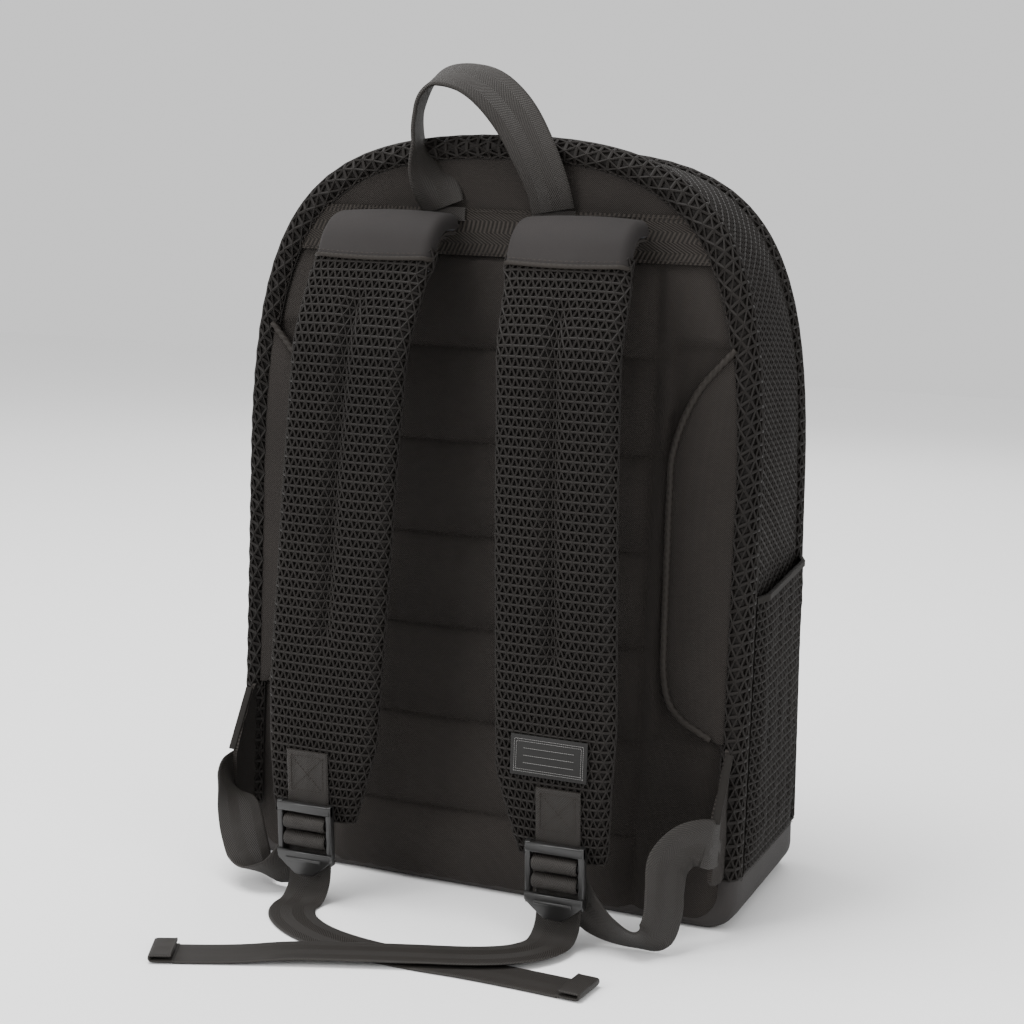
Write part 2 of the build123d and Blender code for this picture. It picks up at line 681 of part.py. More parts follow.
for name, side in SIDES:
    with BuildPart() as adjuster:
        route, radii = flat_webbing([(side * x, y, z) for x, y, z in adjuster_route], (0, 0, 1))
    finish(f"adjuster_{name}", adjuster)
    print(f"adjuster_{name}", "length %.1f" % route.length, "volume %.1f" % adjuster.part.volume,
          "section x length %.1f" % (WEBBING * WEBBING_THICK * route.length),
          "radii", [round(r, 1) for r in radii])
    with BuildPart() as tail:
        route, radii = flat_webbing(tail_routes[name], (1, 0, 0))
    finish(f"tail_{name}", tail)
    print(f"tail_{name}", "length %.1f" % route.length, "volume %.1f" % tail.part.volume,
          "section x length %.1f" % (WEBBING * WEBBING_THICK * route.length),
          "radii", [round(r, 1) for r in radii])
    # the folded and sewn end of the tail
    heading = (route % 1)
    with BuildPart() as tail_hem:
        with BuildSketch(Plane(origin=route @ 1 + heading * 0.1, x_dir=heading.cross(Vector(0, 0, 1)),
                               z_dir=heading)):
            with Locations((0, -1.4)):
                Rectangle(WEBBING, 4.6)
        extrude(amount=13)
    finish(f"tail_hem_{name}", tail_hem)

# ================================================================ export
os.makedirs("parts", exist_ok=True)
for name, part in pieces.items():
    export_step(part, f"parts/{name}.step")
print(len(pieces), "pieces")
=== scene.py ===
# %% [markdown]
# # A school backpack
# The pack is a D-shaped bag of mesh and twill with a quilted back, two padded straps and a loop
# to carry it by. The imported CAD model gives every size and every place, and this lesson dresses it
# in cloth, webbing, thread and plastic.

# %% Load the frame
from math import atan, cos, pi, radians, sin

import bpy
import numpy as np
from mathutils import Matrix, Vector


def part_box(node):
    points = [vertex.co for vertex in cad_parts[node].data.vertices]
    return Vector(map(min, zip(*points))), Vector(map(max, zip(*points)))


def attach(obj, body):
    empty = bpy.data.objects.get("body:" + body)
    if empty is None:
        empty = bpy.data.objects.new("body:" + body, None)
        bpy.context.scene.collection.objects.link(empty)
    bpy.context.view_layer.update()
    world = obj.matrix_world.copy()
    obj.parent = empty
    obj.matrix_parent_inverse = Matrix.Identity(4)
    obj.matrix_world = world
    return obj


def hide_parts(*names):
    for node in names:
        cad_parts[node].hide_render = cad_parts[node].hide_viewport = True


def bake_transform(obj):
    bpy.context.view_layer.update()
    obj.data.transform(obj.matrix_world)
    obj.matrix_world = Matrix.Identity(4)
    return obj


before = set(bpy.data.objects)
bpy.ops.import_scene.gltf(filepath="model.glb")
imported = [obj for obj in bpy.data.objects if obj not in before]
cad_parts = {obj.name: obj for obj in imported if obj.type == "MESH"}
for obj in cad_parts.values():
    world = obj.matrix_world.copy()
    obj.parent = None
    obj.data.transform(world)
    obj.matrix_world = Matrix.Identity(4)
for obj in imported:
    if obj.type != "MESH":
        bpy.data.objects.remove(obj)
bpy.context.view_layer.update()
MM = 0.001
LEFT, RIGHT = "left", "right"
SIDES = ((LEFT, -1), (RIGHT, 1))


def box_mm(node):
    """Lowest and highest corner of a CAD node, in millimetres."""
    low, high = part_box(node)
    return np.array(low) / MM, np.array(high) / MM


# %% [markdown]
# ## Camera
# The camera looks at the strap side from the wearer's upper left. It is placed first, with the
# loose webbing, because both decide how much room the object needs.

# %% Camera
AIM = Vector((0, 0, 0.2285))
AZIMUTH, ELEVATION, ROLL = radians(22.904), radians(7.278), radians(-2.161)
DISTANCE = 1.2094
back = Vector((-sin(AZIMUTH) * cos(ELEVATION), cos(AZIMUTH) * cos(ELEVATION), sin(ELEVATION)))
level = Vector((-cos(AZIMUTH), -sin(AZIMUTH), 0))
upright = back.cross(level)
right_hand = level * cos(ROLL) - upright * sin(ROLL)
up_hand = level * sin(ROLL) + upright * cos(ROLL)
camera = bpy.data.objects.new("camera", bpy.data.cameras.new("camera"))
bpy.context.scene.collection.objects.link(camera)
camera.data.sensor_width = 36
camera.data.lens = 70.95
camera.data.shift_x = -0.0291
camera.data.shift_y = -0.0255
camera.matrix_world = Matrix.Translation(AIM + back * DISTANCE) @ Matrix(
    (right_hand, up_hand, back)
).transposed().to_4x4()
bpy.context.scene.camera = camera
print("camera", [round(c, 3) for c in camera.matrix_world.translation])

# %% [markdown]
# ## Shared effects
# Cloth seen close up is a surface of threads. Each effect that several finishes share is one node
# group, which puts out a height for the bump and a mask for the colour.


# %% Node helpers
def new_group(name, inputs, outputs):
    """A shader node group with named sockets: name -> default (a number or a vector)."""
    tree = bpy.data.node_groups.new(name, "ShaderNodeTree")
    for label, value in inputs.items():
        kind = "NodeSocketVector" if value is None else "NodeSocketFloat"
        socket = tree.interface.new_socket(label, in_out="INPUT", socket_type=kind)
        if value is not None:
            socket.default_value = value
    for label in outputs:
        tree.interface.new_socket(label, in_out="OUTPUT", socket_type="NodeSocketFloat")
    return tree, tree.nodes.new("NodeGroupInput"), tree.nodes.new("NodeGroupOutput")


def math_node(tree, operation, *values):
    """A Math node fed by sockets or plain numbers; gives back its output."""
    node = tree.nodes.new("ShaderNodeMath")
    node.operation = operation
    for slot, value in zip(node.inputs, values):
        if isinstance(value, (int, float)):
            slot.default_value = value
        else:
            tree.links.new(value, slot)
    return node.outputs[0]


def noise(tree, vector, scale, detail=2.0, rough=0.5):
    """The value of a noise texture."""
    node = tree.nodes.new("ShaderNodeTexNoise")
    node.inputs["Scale"].default_value = scale
    node.inputs["Detail"].default_value = detail
    node.inputs["Roughness"].default_value = rough
    tree.links.new(vector, node.inputs["Vector"])
    return node.outputs["Fac"]


def ramp(tree, value, low, high, to_low=0.0, to_high=1.0):
    """Map a value between two limits."""
    node = tree.nodes.new("ShaderNodeMapRange")
    for label, number in (("From Min", low), ("From Max", high), ("To Min", to_low), ("To Max", to_high)):
        node.inputs[label].default_value = number
    tree.links.new(value, node.inputs["Value"])
    return node.outputs["Result"]


# %% Twill, herringbone and fibre groups
def twill_group():
    """Diagonal ribs of a twill weave, crossed by the single threads."""
    tree, source, result = new_group("twill_weave", {"Vector": None, "Pitch": 0.9}, ("Height", "Mask"))
    split = tree.nodes.new("ShaderNodeSeparateXYZ")
    tree.links.new(source.outputs["Vector"], split.inputs[0])
    turn = math_node(tree, "DIVIDE", 2 * pi / MM, source.outputs["Pitch"])
    across = math_node(tree, "MULTIPLY", split.outputs[0], turn)
    along = math_node(tree, "MULTIPLY", split.outputs[1], turn)
    rib = math_node(tree, "SINE", math_node(tree, "ADD", across, along))
    thread = math_node(tree, "MULTIPLY", math_node(tree, "SINE", math_node(tree, "MULTIPLY", across, 2.0)),
                       math_node(tree, "SINE", math_node(tree, "MULTIPLY", along, 2.0)))
    height = math_node(tree, "MULTIPLY_ADD", thread, 0.35, rib)
    uneven = ramp(tree, noise(tree, source.outputs["Vector"], 900.0, 3.0), 0.3, 0.7, -0.5, 0.5)
    height = math_node(tree, "ADD", height, uneven)
    tree.links.new(ramp(tree, height, -1.6, 1.6), result.inputs["Height"])
    tree.links.new(ramp(tree, rib, -1.0, 1.0), result.inputs["Mask"])
    return tree


def webbing_group():
    """Herringbone ribs of webbing: U along the length, in bands across the width."""
    tree, source, result = new_group(
        "webbing_weave", {"Vector": None, "Pitch": 1.5, "Band": 6.5}, ("Height", "Mask")
    )
    split = tree.nodes.new("ShaderNodeSeparateXYZ")
    tree.links.new(source.outputs["Vector"], split.inputs[0])
    band = math_node(tree, "DIVIDE", split.outputs[1],
                     math_node(tree, "MULTIPLY", source.outputs["Band"], MM))
    zigzag = math_node(tree, "PINGPONG", band, 1.0)
    zigzag = math_node(tree, "MULTIPLY", zigzag, math_node(tree, "MULTIPLY", source.outputs["Band"], MM))
    slanted = math_node(tree, "ADD", split.outputs[0], zigzag)
    turn = math_node(tree, "DIVIDE", 2 * pi / MM, source.outputs["Pitch"])
    rib = math_node(tree, "SINE", math_node(tree, "MULTIPLY", slanted, turn))
    thread = math_node(tree, "SINE", math_node(tree, "MULTIPLY", split.outputs[1], 2 * pi / (0.75 * MM)))
    height = math_node(tree, "MULTIPLY_ADD", thread, 0.3, rib)
    tree.links.new(ramp(tree, height, -1.3, 1.3), result.inputs["Height"])
    tree.links.new(ramp(tree, rib, -1.0, 1.0), result.inputs["Mask"])
    return tree


def wear_group():
    """Slow changes of tone, and a fine dusting of pale fibres."""
    tree, source, result = new_group("soft_wear", {"Vector": None, "Amount": 0.3}, ("Tone", "Lint"))
    cloud = ramp(tree, noise(tree, source.outputs["Vector"], 9.0, 4.0, 0.6), 0.3, 0.7, -0.5, 0.5)
    tree.links.new(math_node(tree, "MULTIPLY_ADD", cloud, source.outputs["Amount"], 1.0),
                   result.inputs["Tone"])
    lint = ramp(tree, noise(tree, source.outputs["Vector"], 1500.0, 2.0), 0.70, 0.82)
    tree.links.new(lint, result.inputs["Lint"])
    return tree


TWILL = twill_group()
HERRINGBONE = webbing_group()
WEAR = wear_group()


# %% [markdown]
# ## Finishes
# Every finish starts from the same few sockets of the Principled shader. The weave groups give a
# bump and a faint two-tone thread colour, and the wear group keeps large areas from looking flat.


# %% Finish helper
def finish_of(name, color, rough, weave=None, pitch=0.9, bump=0.5, depth=0.12, coords="UV",
              sheen=0.0, wear=0.3, contrast=0.35, specular=0.14, grain=None, coat=0.0):
    """A woven or grained material. pitch and depth are in millimetres."""
    material = bpy.data.materials.new(name)
    material.use_nodes = True
    tree = material.node_tree
    shader = tree.nodes["Principled BSDF"]
    shader.inputs["Base Color"].default_value = (*color, 1)
    shader.inputs["Roughness"].default_value = rough
    shader.inputs["Specular IOR Level"].default_value = specular
    shader.inputs["Sheen Weight"].default_value = sheen
    shader.inputs["Sheen Roughness"].default_value = 0.45
    shader.inputs["Coat Weight"].default_value = coat
    places = tree.nodes.new("ShaderNodeTexCoord")
    where = places.outputs[coords]
    tone = tree.nodes.new("ShaderNodeGroup")
    tone.node_tree = WEAR
    tone.inputs["Amount"].default_value = wear
    tree.links.new(places.outputs["Object"], tone.inputs["Vector"])
    shade = tone.outputs["Tone"]
    height = None
    if weave is not None:
        group = tree.nodes.new("ShaderNodeGroup")
        group.node_tree = weave
        group.inputs["Pitch"].default_value = pitch
        tree.links.new(where, group.inputs["Vector"])
        shade = math_node(tree, "MULTIPLY", shade,
                          ramp(tree, group.outputs["Mask"], 0, 1, 1 - contrast, 1 + contrast))
        height = group.outputs["Height"]
    if grain is not None:
        height = noise(tree, where, grain, 4.0, 0.6)
    mix = tree.nodes.new("ShaderNodeMix")
    mix.data_type = "RGBA"
    mix.blend_type = "MULTIPLY"
    mix.inputs["Factor"].default_value = 1.0
    mix.inputs["A"].default_value = (*color, 1)
    gray = tree.nodes.new("ShaderNodeCombineColor")
    for slot in gray.inputs:
        tree.links.new(shade, slot)
    tree.links.new(gray.outputs[0], mix.inputs["B"])
    lint = tree.nodes.new("ShaderNodeMix")
    lint.data_type = "RGBA"
    lint.inputs["B"].default_value = (0.10, 0.095, 0.09, 1)
    tree.links.new(mix.outputs["Result"], lint.inputs["A"])
    tree.links.new(math_node(tree, "MULTIPLY", tone.outputs["Lint"], 0.25), lint.inputs["Factor"])
    tree.links.new(lint.outputs["Result"], shader.inputs["Base Color"])
    if height is not None:
        node = tree.nodes.new("ShaderNodeBump")
        node.inputs["Strength"].default_value = bump
        node.inputs["Distance"].default_value = depth * MM
        tree.links.new(height, node.inputs["Height"])
        tree.links.new(node.outputs["Normal"], shader.inputs["Normal"])
    return material


# %% The finishes of this pack
TWILL_CLOTH = finish_of("twill_cloth", (0.0215, 0.0185, 0.0165), 0.82, TWILL, 1.15, 1.0, 0.42, sheen=0.02,
                        contrast=0.5)
CAP_CLOTH = finish_of("cap_cloth", (0.0185, 0.0165, 0.0160), 0.78, TWILL, 0.60, 0.45, 0.08, sheen=0.02,
                      contrast=0.2)
BOOT_CLOTH = finish_of("boot_cloth", (0.024, 0.0215, 0.0205), 0.70, TWILL, 0.5, 0.35, 0.06, contrast=0.25,
                       specular=0.22)
WEBBING = finish_of("webbing", (0.0150, 0.0128, 0.0110), 0.60, HERRINGBONE, 1.35, 1.0, 0.30, specular=0.30,
                    contrast=0.5)
FINE_WEBBING = finish_of("band_webbing", (0.0195, 0.0165, 0.0142), 0.66, HERRINGBONE, 2.6, 1.0, 0.45,
                         contrast=0.6)
LINING = finish_of("lining", (0.075, 0.075, 0.080), 0.75, TWILL, 0.5, 0.4, 0.06, contrast=0.15)
BINDING = finish_of("binding", (0.013, 0.0115, 0.0102), 0.75, HERRINGBONE, 0.8, 0.6, 0.12)
THREAD = finish_of("thread", (0.024, 0.0205, 0.018), 0.60, coords="Object", grain=4000.0, depth=0.05)
PIPING = finish_of("piping", (0.020, 0.0172, 0.015), 0.62, coords="Object", grain=3000.0, depth=0.1)
PLASTIC = finish_of("buckle_plastic", (0.0085, 0.0082, 0.0080), 0.36, coords="Object", grain=2600.0,
                    bump=0.25,
                    depth=0.03, wear=0.15, specular=0.5)
RUBBER = finish_of("pull_rubber", (0.020, 0.0195, 0.019), 0.6, coords="Object", grain=1800.0, bump=0.3,
                   depth=0.04)
ZIP_METAL = finish_of("zip_metal", (0.022, 0.022, 0.022), 0.32, coords="Object", grain=900.0, bump=0.1,
                      depth=0.02, specular=0.7, coat=0.3)
ZIP_TAPE = finish_of("zip_tape", (0.016, 0.015, 0.0145), 0.7, HERRINGBONE, 0.9, 0.6, 0.1)
BOARD = finish_of("board", (0.10, 0.10, 0.105), 0.6, coords="Object", grain=500.0, bump=0.2, depth=0.05)
LABEL = finish_of("label", (0.016, 0.0155, 0.015), 0.6, TWILL, 0.4, 0.3, 0.04)
LABEL_LINE = finish_of("label_line", (0.22, 0.215, 0.21), 0.7, TWILL, 0.4, 0.3, 0.04)


def yarn_material(name, color, floor):
    """Open mesh: the yarn on top, and a much darker ground at the bottom of its holes."""
    material = finish_of(name, color, 0.66, coords="Object", grain=2400.0, bump=0.6, depth=0.12,
                         specular=0.17)
    tree = material.node_tree
    shader = tree.nodes["Principled BSDF"]
    before = shader.inputs["Base Color"].links[0].from_socket
    pit = tree.nodes.new("ShaderNodeAttribute")
    pit.attribute_name = "pit"
    mix = tree.nodes.new("ShaderNodeMix")
    mix.data_type = "RGBA"
    mix.inputs["B"].default_value = (*floor, 1)
    tree.links.new(before, mix.inputs["A"])
    tree.links.new(pit.outputs["Fac"], mix.inputs["Factor"])
    tree.links.new(mix.outputs["Result"], shader.inputs["Base Color"])
    return material


MESH_YARN = yarn_material("mesh_yarn", (0.0098, 0.0083, 0.0073), (0.0022, 0.0019, 0.0016))
print(len(bpy.data.materials), "finishes")

# %% [markdown]
# ## Building cloth
# Most pieces are one sheet. A sheet is a grid of points, its thickness goes inwards from it, and its
# UV map is the cloth's own length and width, so that a weave keeps its size and follows every bend.


# %% Mesh helpers
def add_mesh(name, verts, faces, material, uv=None, angle=40):
    """A mesh object from points in millimetres; sharp where it turns by more than the angle."""
    mesh = bpy.data.meshes.new(name)
    mesh.from_pydata((np.asarray(verts, float) * MM).tolist(), [], faces)
    if uv is not None:
        layer = mesh.uv_layers.new(name="cloth")
        index = np.zeros(len(mesh.loops), int)
        mesh.loops.foreach_get("vertex_index", index)
        layer.data.foreach_set("uv", (np.asarray(uv, float)[index] * MM).ravel())
    mesh.materials.append(material)
    mesh.shade_smooth()
    mesh.set_sharp_from_angle(angle=radians(angle))
    piece = bpy.data.objects.new(name, mesh)
    bpy.context.scene.collection.objects.link(piece)
    return piece


def lengths(points, axis):
    """Running length along one axis of a grid."""
    step = np.linalg.norm(np.diff(points, axis=axis), axis=-1)
    start = np.zeros_like(np.take(step, [0], axis=axis))
    return np.concatenate([start, np.cumsum(step, axis=axis)], axis=axis)


def normals(grid, away):
    """Unit normals of a grid, pointing away from a point."""
    n = np.cross(np.gradient(grid, axis=1), np.gradient(grid, axis=0))
    n /= np.maximum(np.linalg.norm(n, axis=2, keepdims=True), 1e-9)
    flip = np.sum(n * (grid - np.array(away, float))) < 0
    return (-n if flip else n), flip


def grid_faces(rows, columns, offset=0, flip=False):
    """Quads of a grid."""
    faces = []
    for j in range(rows - 1):
        for i in range(columns - 1):
            a = offset + j * columns + i
            quad = (a, a + columns, a + columns + 1, a + 1)
            faces.append(quad[::-1] if flip else quad)
    return faces


def sheet_mesh(name, grid, thick, material, away=(0, 0, 200), angle=40, level_weave=False):
    """A closed sheet: the grid is its outer face and the thickness goes inwards. A level weave runs
    straight across however the rows go round."""
    grid = np.array(grid, float)
    n, flip = normals(grid, away)
    rows, columns = grid.shape[:2]
    inner = grid - n * thick
    verts = np.concatenate([grid.reshape(-1, 3), inner.reshape(-1, 3)])
    size = rows * columns
    faces = grid_faces(rows, columns, 0, flip) + grid_faces(rows, columns, size, not flip)
    rim = [j * columns for j in range(rows)] + [(rows - 1) * columns + i for i in range(1, columns)]
    rim += [j * columns + columns - 1 for j in range(rows - 2, -1, -1)] + list(range(columns - 2, 0, -1))
    for a, b in zip(rim, rim[1:] + rim[:1]):
        quad = (a, a + size, b + size, b)
        faces.append(quad[::-1] if flip else quad)
    uv = grid[..., (0, 2)] if level_weave else np.stack([lengths(grid, 1), lengths(grid, 0)], axis=2)
    uv = uv.reshape(-1, 2)
    return add_mesh(name, verts, faces, material, np.concatenate([uv, uv]), angle)


def spline(points, count):
    """A smooth curve through points (Catmull-Rom), cut into equal steps."""
    p = np.array(points, float)
    p = np.concatenate([[2 * p[0] - p[1]], p, [2 * p[-1] - p[-2]]])
    t = np.linspace(0, 1, 24, endpoint=False)[:, None]
    parts = []
    for a, b, c, d in zip(p, p[1:], p[2:], p[3:]):
        parts.append(0.5 * (2 * b + (c - a) * t + (2 * a - 5 * b + 4 * c - d) * t**2
                            + (3 * b - a - 3 * c + d) * t**3))
    dense = np.concatenate(parts + [p[-2:-1]])
    run = lengths(dense[None], 1)[0]
    return np.stack([np.interp(np.linspace(0, run[-1], count), run, dense[:, k])
                     for k in range(dense.shape[1])], axis=1)


def ribbon(name, centres, across, width, thick, material):
    """Flat webbing along a line. across gives its width direction at each point."""
    centres = np.array(centres, float)
    across = np.array(across, float)
    across /= np.linalg.norm(across, axis=1, keepdims=True)
    tangent = np.gradient(centres, axis=0)
    tangent /= np.linalg.norm(tangent, axis=1, keepdims=True)
    up = np.cross(across, tangent)
    up /= np.linalg.norm(up, axis=1, keepdims=True)
    half = thick / 2
    shape = [(-0.5, 0.0), (-0.48, 0.8), (-0.44, 1.0), (0.0, 1.0), (0.44, 1.0), (0.48, 0.8), (0.5, 0.0),
             (0.48, -0.8), (0.44, -1.0), (0.0, -1.0), (-0.44, -1.0), (-0.48, -0.8)]
    around = len(shape)
    verts = np.concatenate([[c + a * x * width + u * h * half for x, h in shape]
                            for c, a, u in zip(centres, across, up)])
    count = len(centres)
    run = lengths(centres[None], 1)[0]
    uv = [(s, (x + 0.5) * width) for s in run for x, h in shape]
    faces = []
    for j in range(count - 1):
        for i in range(around):
            k = (i + 1) % around
            faces.append((j * around + i, j * around + k, (j + 1) * around + k, (j + 1) * around + i))
    faces.append(tuple(range(around - 1, -1, -1)))
    faces.append(tuple(range((count - 1) * around, count * around)))
    return add_mesh(name, verts, faces, material, uv, 50)


def join(name, *pieces):
    """Make one piece of several."""
    with bpy.context.temp_override(active_object=pieces[0], object=pieces[0],
                                   selected_objects=list(pieces), selected_editable_objects=list(pieces)):
        bpy.ops.object.join()
    pieces[0].name = name
    return pieces[0]


def wear_on(piece, body, slot, *nodes):
    """Put a finished piece on its body and hide the CAD solids it stands for. The slot is not used."""
    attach(piece, body)
    if nodes:
        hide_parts(*nodes)
    return piece


# %% [markdown]
# ## Loose tails
# Below each buckle the running webbing ends in a loose tail. It drops to the floor and lies there
# flat, and the two tails cross. A NURBS curve holds each route, and a ribbon follows the points
# that Blender gives for that curve.

# %% Tails
WEB_WIDTH = 26.0
WEB_THICK = 1.6
LAY = 1.0
LIFT = 4.2
TAIL_X = 76.0
LEG_TOP = (134.95, 22.6)
LEG_LOW = (133.96, 12.65)
tail_routes = {
    RIGHT: ((TAIL_X, *LEG_TOP), (TAIL_X, *LEG_LOW), (TAIL_X, 142, LAY), (TAIL_X, 156, LAY), (66, 172, LAY),
            (46, 186, LAY), (18, 194, LAY), (-18, 196, LAY), (-62, 192, LAY), (-106, 194, LAY)),
    LEFT: ((-TAIL_X, *LEG_TOP), (-TAIL_X, *LEG_LOW), (-TAIL_X, 142, LIFT), (-TAIL_X, 155, LIFT),
           (-67, 171, LIFT), (-48, 184, LIFT), (-20, 195, LIFT), (14, 210, LIFT), (40, 222, LIFT),
           (66, 234.5, LAY), (92, 247, LAY)),
}


def nurbs_points(name, route):
    """The points of a smooth NURBS curve on a route."""
    curve = bpy.data.curves.new(name, "CURVE")
    curve.dimensions = "3D"
    curve.resolution_u = 12
    line = curve.splines.new("NURBS")
    line.points.add(len(route) - 1)
    for point, place in zip(line.points, route):
        point.co = (*[MM * c for c in place], 1)
    line.order_u = 3
    line.use_endpoint_u = True
    holder = bpy.data.objects.new(name, curve)
    bpy.context.scene.collection.objects.link(holder)
    bpy.context.view_layer.update()
    mesh = bpy.data.meshes.new_from_object(holder.evaluated_get(bpy.context.evaluated_depsgraph_get()))
    places = np.array([v.co for v in mesh.vertices]) / MM
    bpy.data.objects.remove(holder)
    bpy.data.meshes.remove(mesh)
    return places


def flat_across(places):
    """The width direction of webbing that lies flat, with no sudden turn over."""
    result = []
    last = np.array([1.0, 0, 0])
    for step in np.gradient(places, axis=0):
        level_step = np.array([step[1], -step[0], 0])
        size = np.linalg.norm(level_step) / np.linalg.norm(step)
        side = last if size < 0.3 else level_step / np.linalg.norm(level_step)
        side = -side if side @ last < 0 else side
        last = 0.6 * last + 0.4 * side
        last /= np.linalg.norm(last)
        result.append(last)
    return np.array(result)


def hem(name, end, heading, side):
    """The folded and sewn end of a tail: the webbing turned back on itself twice."""
    up = np.array([0, 0, 1.0])
    route = [(0, 0.0), (10.5, 0.0), (12.3, 0.8), (12.5, 1.9), (11.5, 2.8), (3, 2.9), (1.2, 3.2)]
    line = spline([end + heading * (a - 1.5) + up * (b + 0.5) for a, b in route], 40)
    fold = ribbon(name, line, np.tile(side, (len(line), 1)), WEB_WIDTH + 0.3, WEB_THICK, WEBBING)
    return fold


for name, side in SIDES:
    places = nurbs_points(f"tail_route_{name}", tail_routes[name])
    widths = flat_across(places)
    tail = ribbon(f"webbing_tail_{name}", places, widths, WEB_WIDTH, WEB_THICK, WEBBING)
    heading = places[-1] - places[-3]
    heading /= np.linalg.norm(heading)
    tail_end = hem(f"webbing_tail_hem_{name}", places[-1] + heading * 1.0, heading, widths[-1])
    route = (places * MM).tolist()
    for piece, node in ((tail, "tail"), (tail_end, "tail_hem")):
        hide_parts(f"{node}_{name}")
        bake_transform(piece)

# %% [markdown]
# ## Open mesh with Geometry Nodes
# The sides, the rims and the straps are covered with a thick knitted mesh: yarn struts round
# triangular holes. Each piece starts as a plain net of triangles laid on its surface. One Geometry
# Nodes tree then gives the net a thickness, shrinks every triangle to leave the struts, and pushes
# what is left inwards as a hole.


# %% The knit tree
def knit_tree():
    """Turn a net of triangles into a thick mesh fabric with a hole in each triangle."""
    tree = bpy.data.node_groups.new("knit_mesh", "GeometryNodeTree")
    face = tree.interface
    face.new_socket("Geometry", in_out="INPUT", socket_type="NodeSocketGeometry")
    for label, value in (("Thickness", 0.002), ("Ridge", 0.0003), ("Hole", 0.6), ("Depth", 0.0015)):
        face.new_socket(label, in_out="INPUT", socket_type="NodeSocketFloat").default_value = value
    face.new_socket("Material", in_out="INPUT", socket_type="NodeSocketMaterial")
    face.new_socket("Geometry", in_out="OUTPUT", socket_type="NodeSocketGeometry")
    source, result = tree.nodes.new("NodeGroupInput"), tree.nodes.new("NodeGroupOutput")
    link = tree.links.new

    def extrude(mesh, selection, offset, individual):
        node = tree.nodes.new("GeometryNodeExtrudeMesh")
        node.inputs["Individual"].default_value = individual
        link(mesh, node.inputs["Mesh"])
        if selection is not None:
            link(selection, node.inputs["Selection"])
        link(offset, node.inputs["Offset Scale"])
        return node.outputs["Mesh"], node.outputs["Top"]

    def shrink(mesh, selection, scale):
        node = tree.nodes.new("GeometryNodeScaleElements")
        link(mesh, node.inputs["Geometry"])
        link(selection, node.inputs["Selection"])
        if isinstance(scale, float):
            node.inputs["Scale"].default_value = scale
        else:
            link(scale, node.inputs["Scale"])
        return node.outputs["Geometry"]

    def minus(value):
        node = tree.nodes.new("ShaderNodeMath")
        node.operation = "MULTIPLY"
        node.inputs[1].default_value = -1.0
        link(value, node.inputs[0])
        return node.outputs[0]

    mesh, top = extrude(source.outputs["Geometry"], None, source.outputs["Thickness"], False)
    mesh, top = extrude(mesh, top, minus(source.outputs["Ridge"]), True)
    mesh = shrink(mesh, top, source.outputs["Hole"])
    mesh, top = extrude(mesh, top, minus(source.outputs["Depth"]), True)
    mesh = shrink(mesh, top, 0.8)
    store = tree.nodes.new("GeometryNodeStoreNamedAttribute")
    store.data_type, store.domain = "FLOAT", "FACE"
    store.inputs["Name"].default_value = "pit"
    store.inputs["Value"].default_value = 1.0
    link(mesh, store.inputs["Geometry"])
    link(top, store.inputs["Selection"])
    flip = tree.nodes.new("GeometryNodeFlipFaces")
    link(source.outputs["Geometry"], flip.inputs["Mesh"])
    both = tree.nodes.new("GeometryNodeJoinGeometry")
    link(flip.outputs["Mesh"], both.inputs[0])
    link(store.outputs["Geometry"], both.inputs[0])
    merge = tree.nodes.new("GeometryNodeMergeByDistance")
    merge.inputs["Distance"].default_value = 1e-6
    link(both.outputs[0], merge.inputs["Geometry"])
    real = tree.nodes.new("GeometryNodeRealizeInstances")
    link(merge.outputs["Geometry"], real.inputs["Geometry"])
    paint = tree.nodes.new("GeometryNodeSetMaterial")
    link(real.outputs["Geometry"], paint.inputs["Geometry"])
    link(source.outputs["Material"], paint.inputs["Material"])
    link(paint.outputs["Geometry"], result.inputs["Geometry"])
    return tree


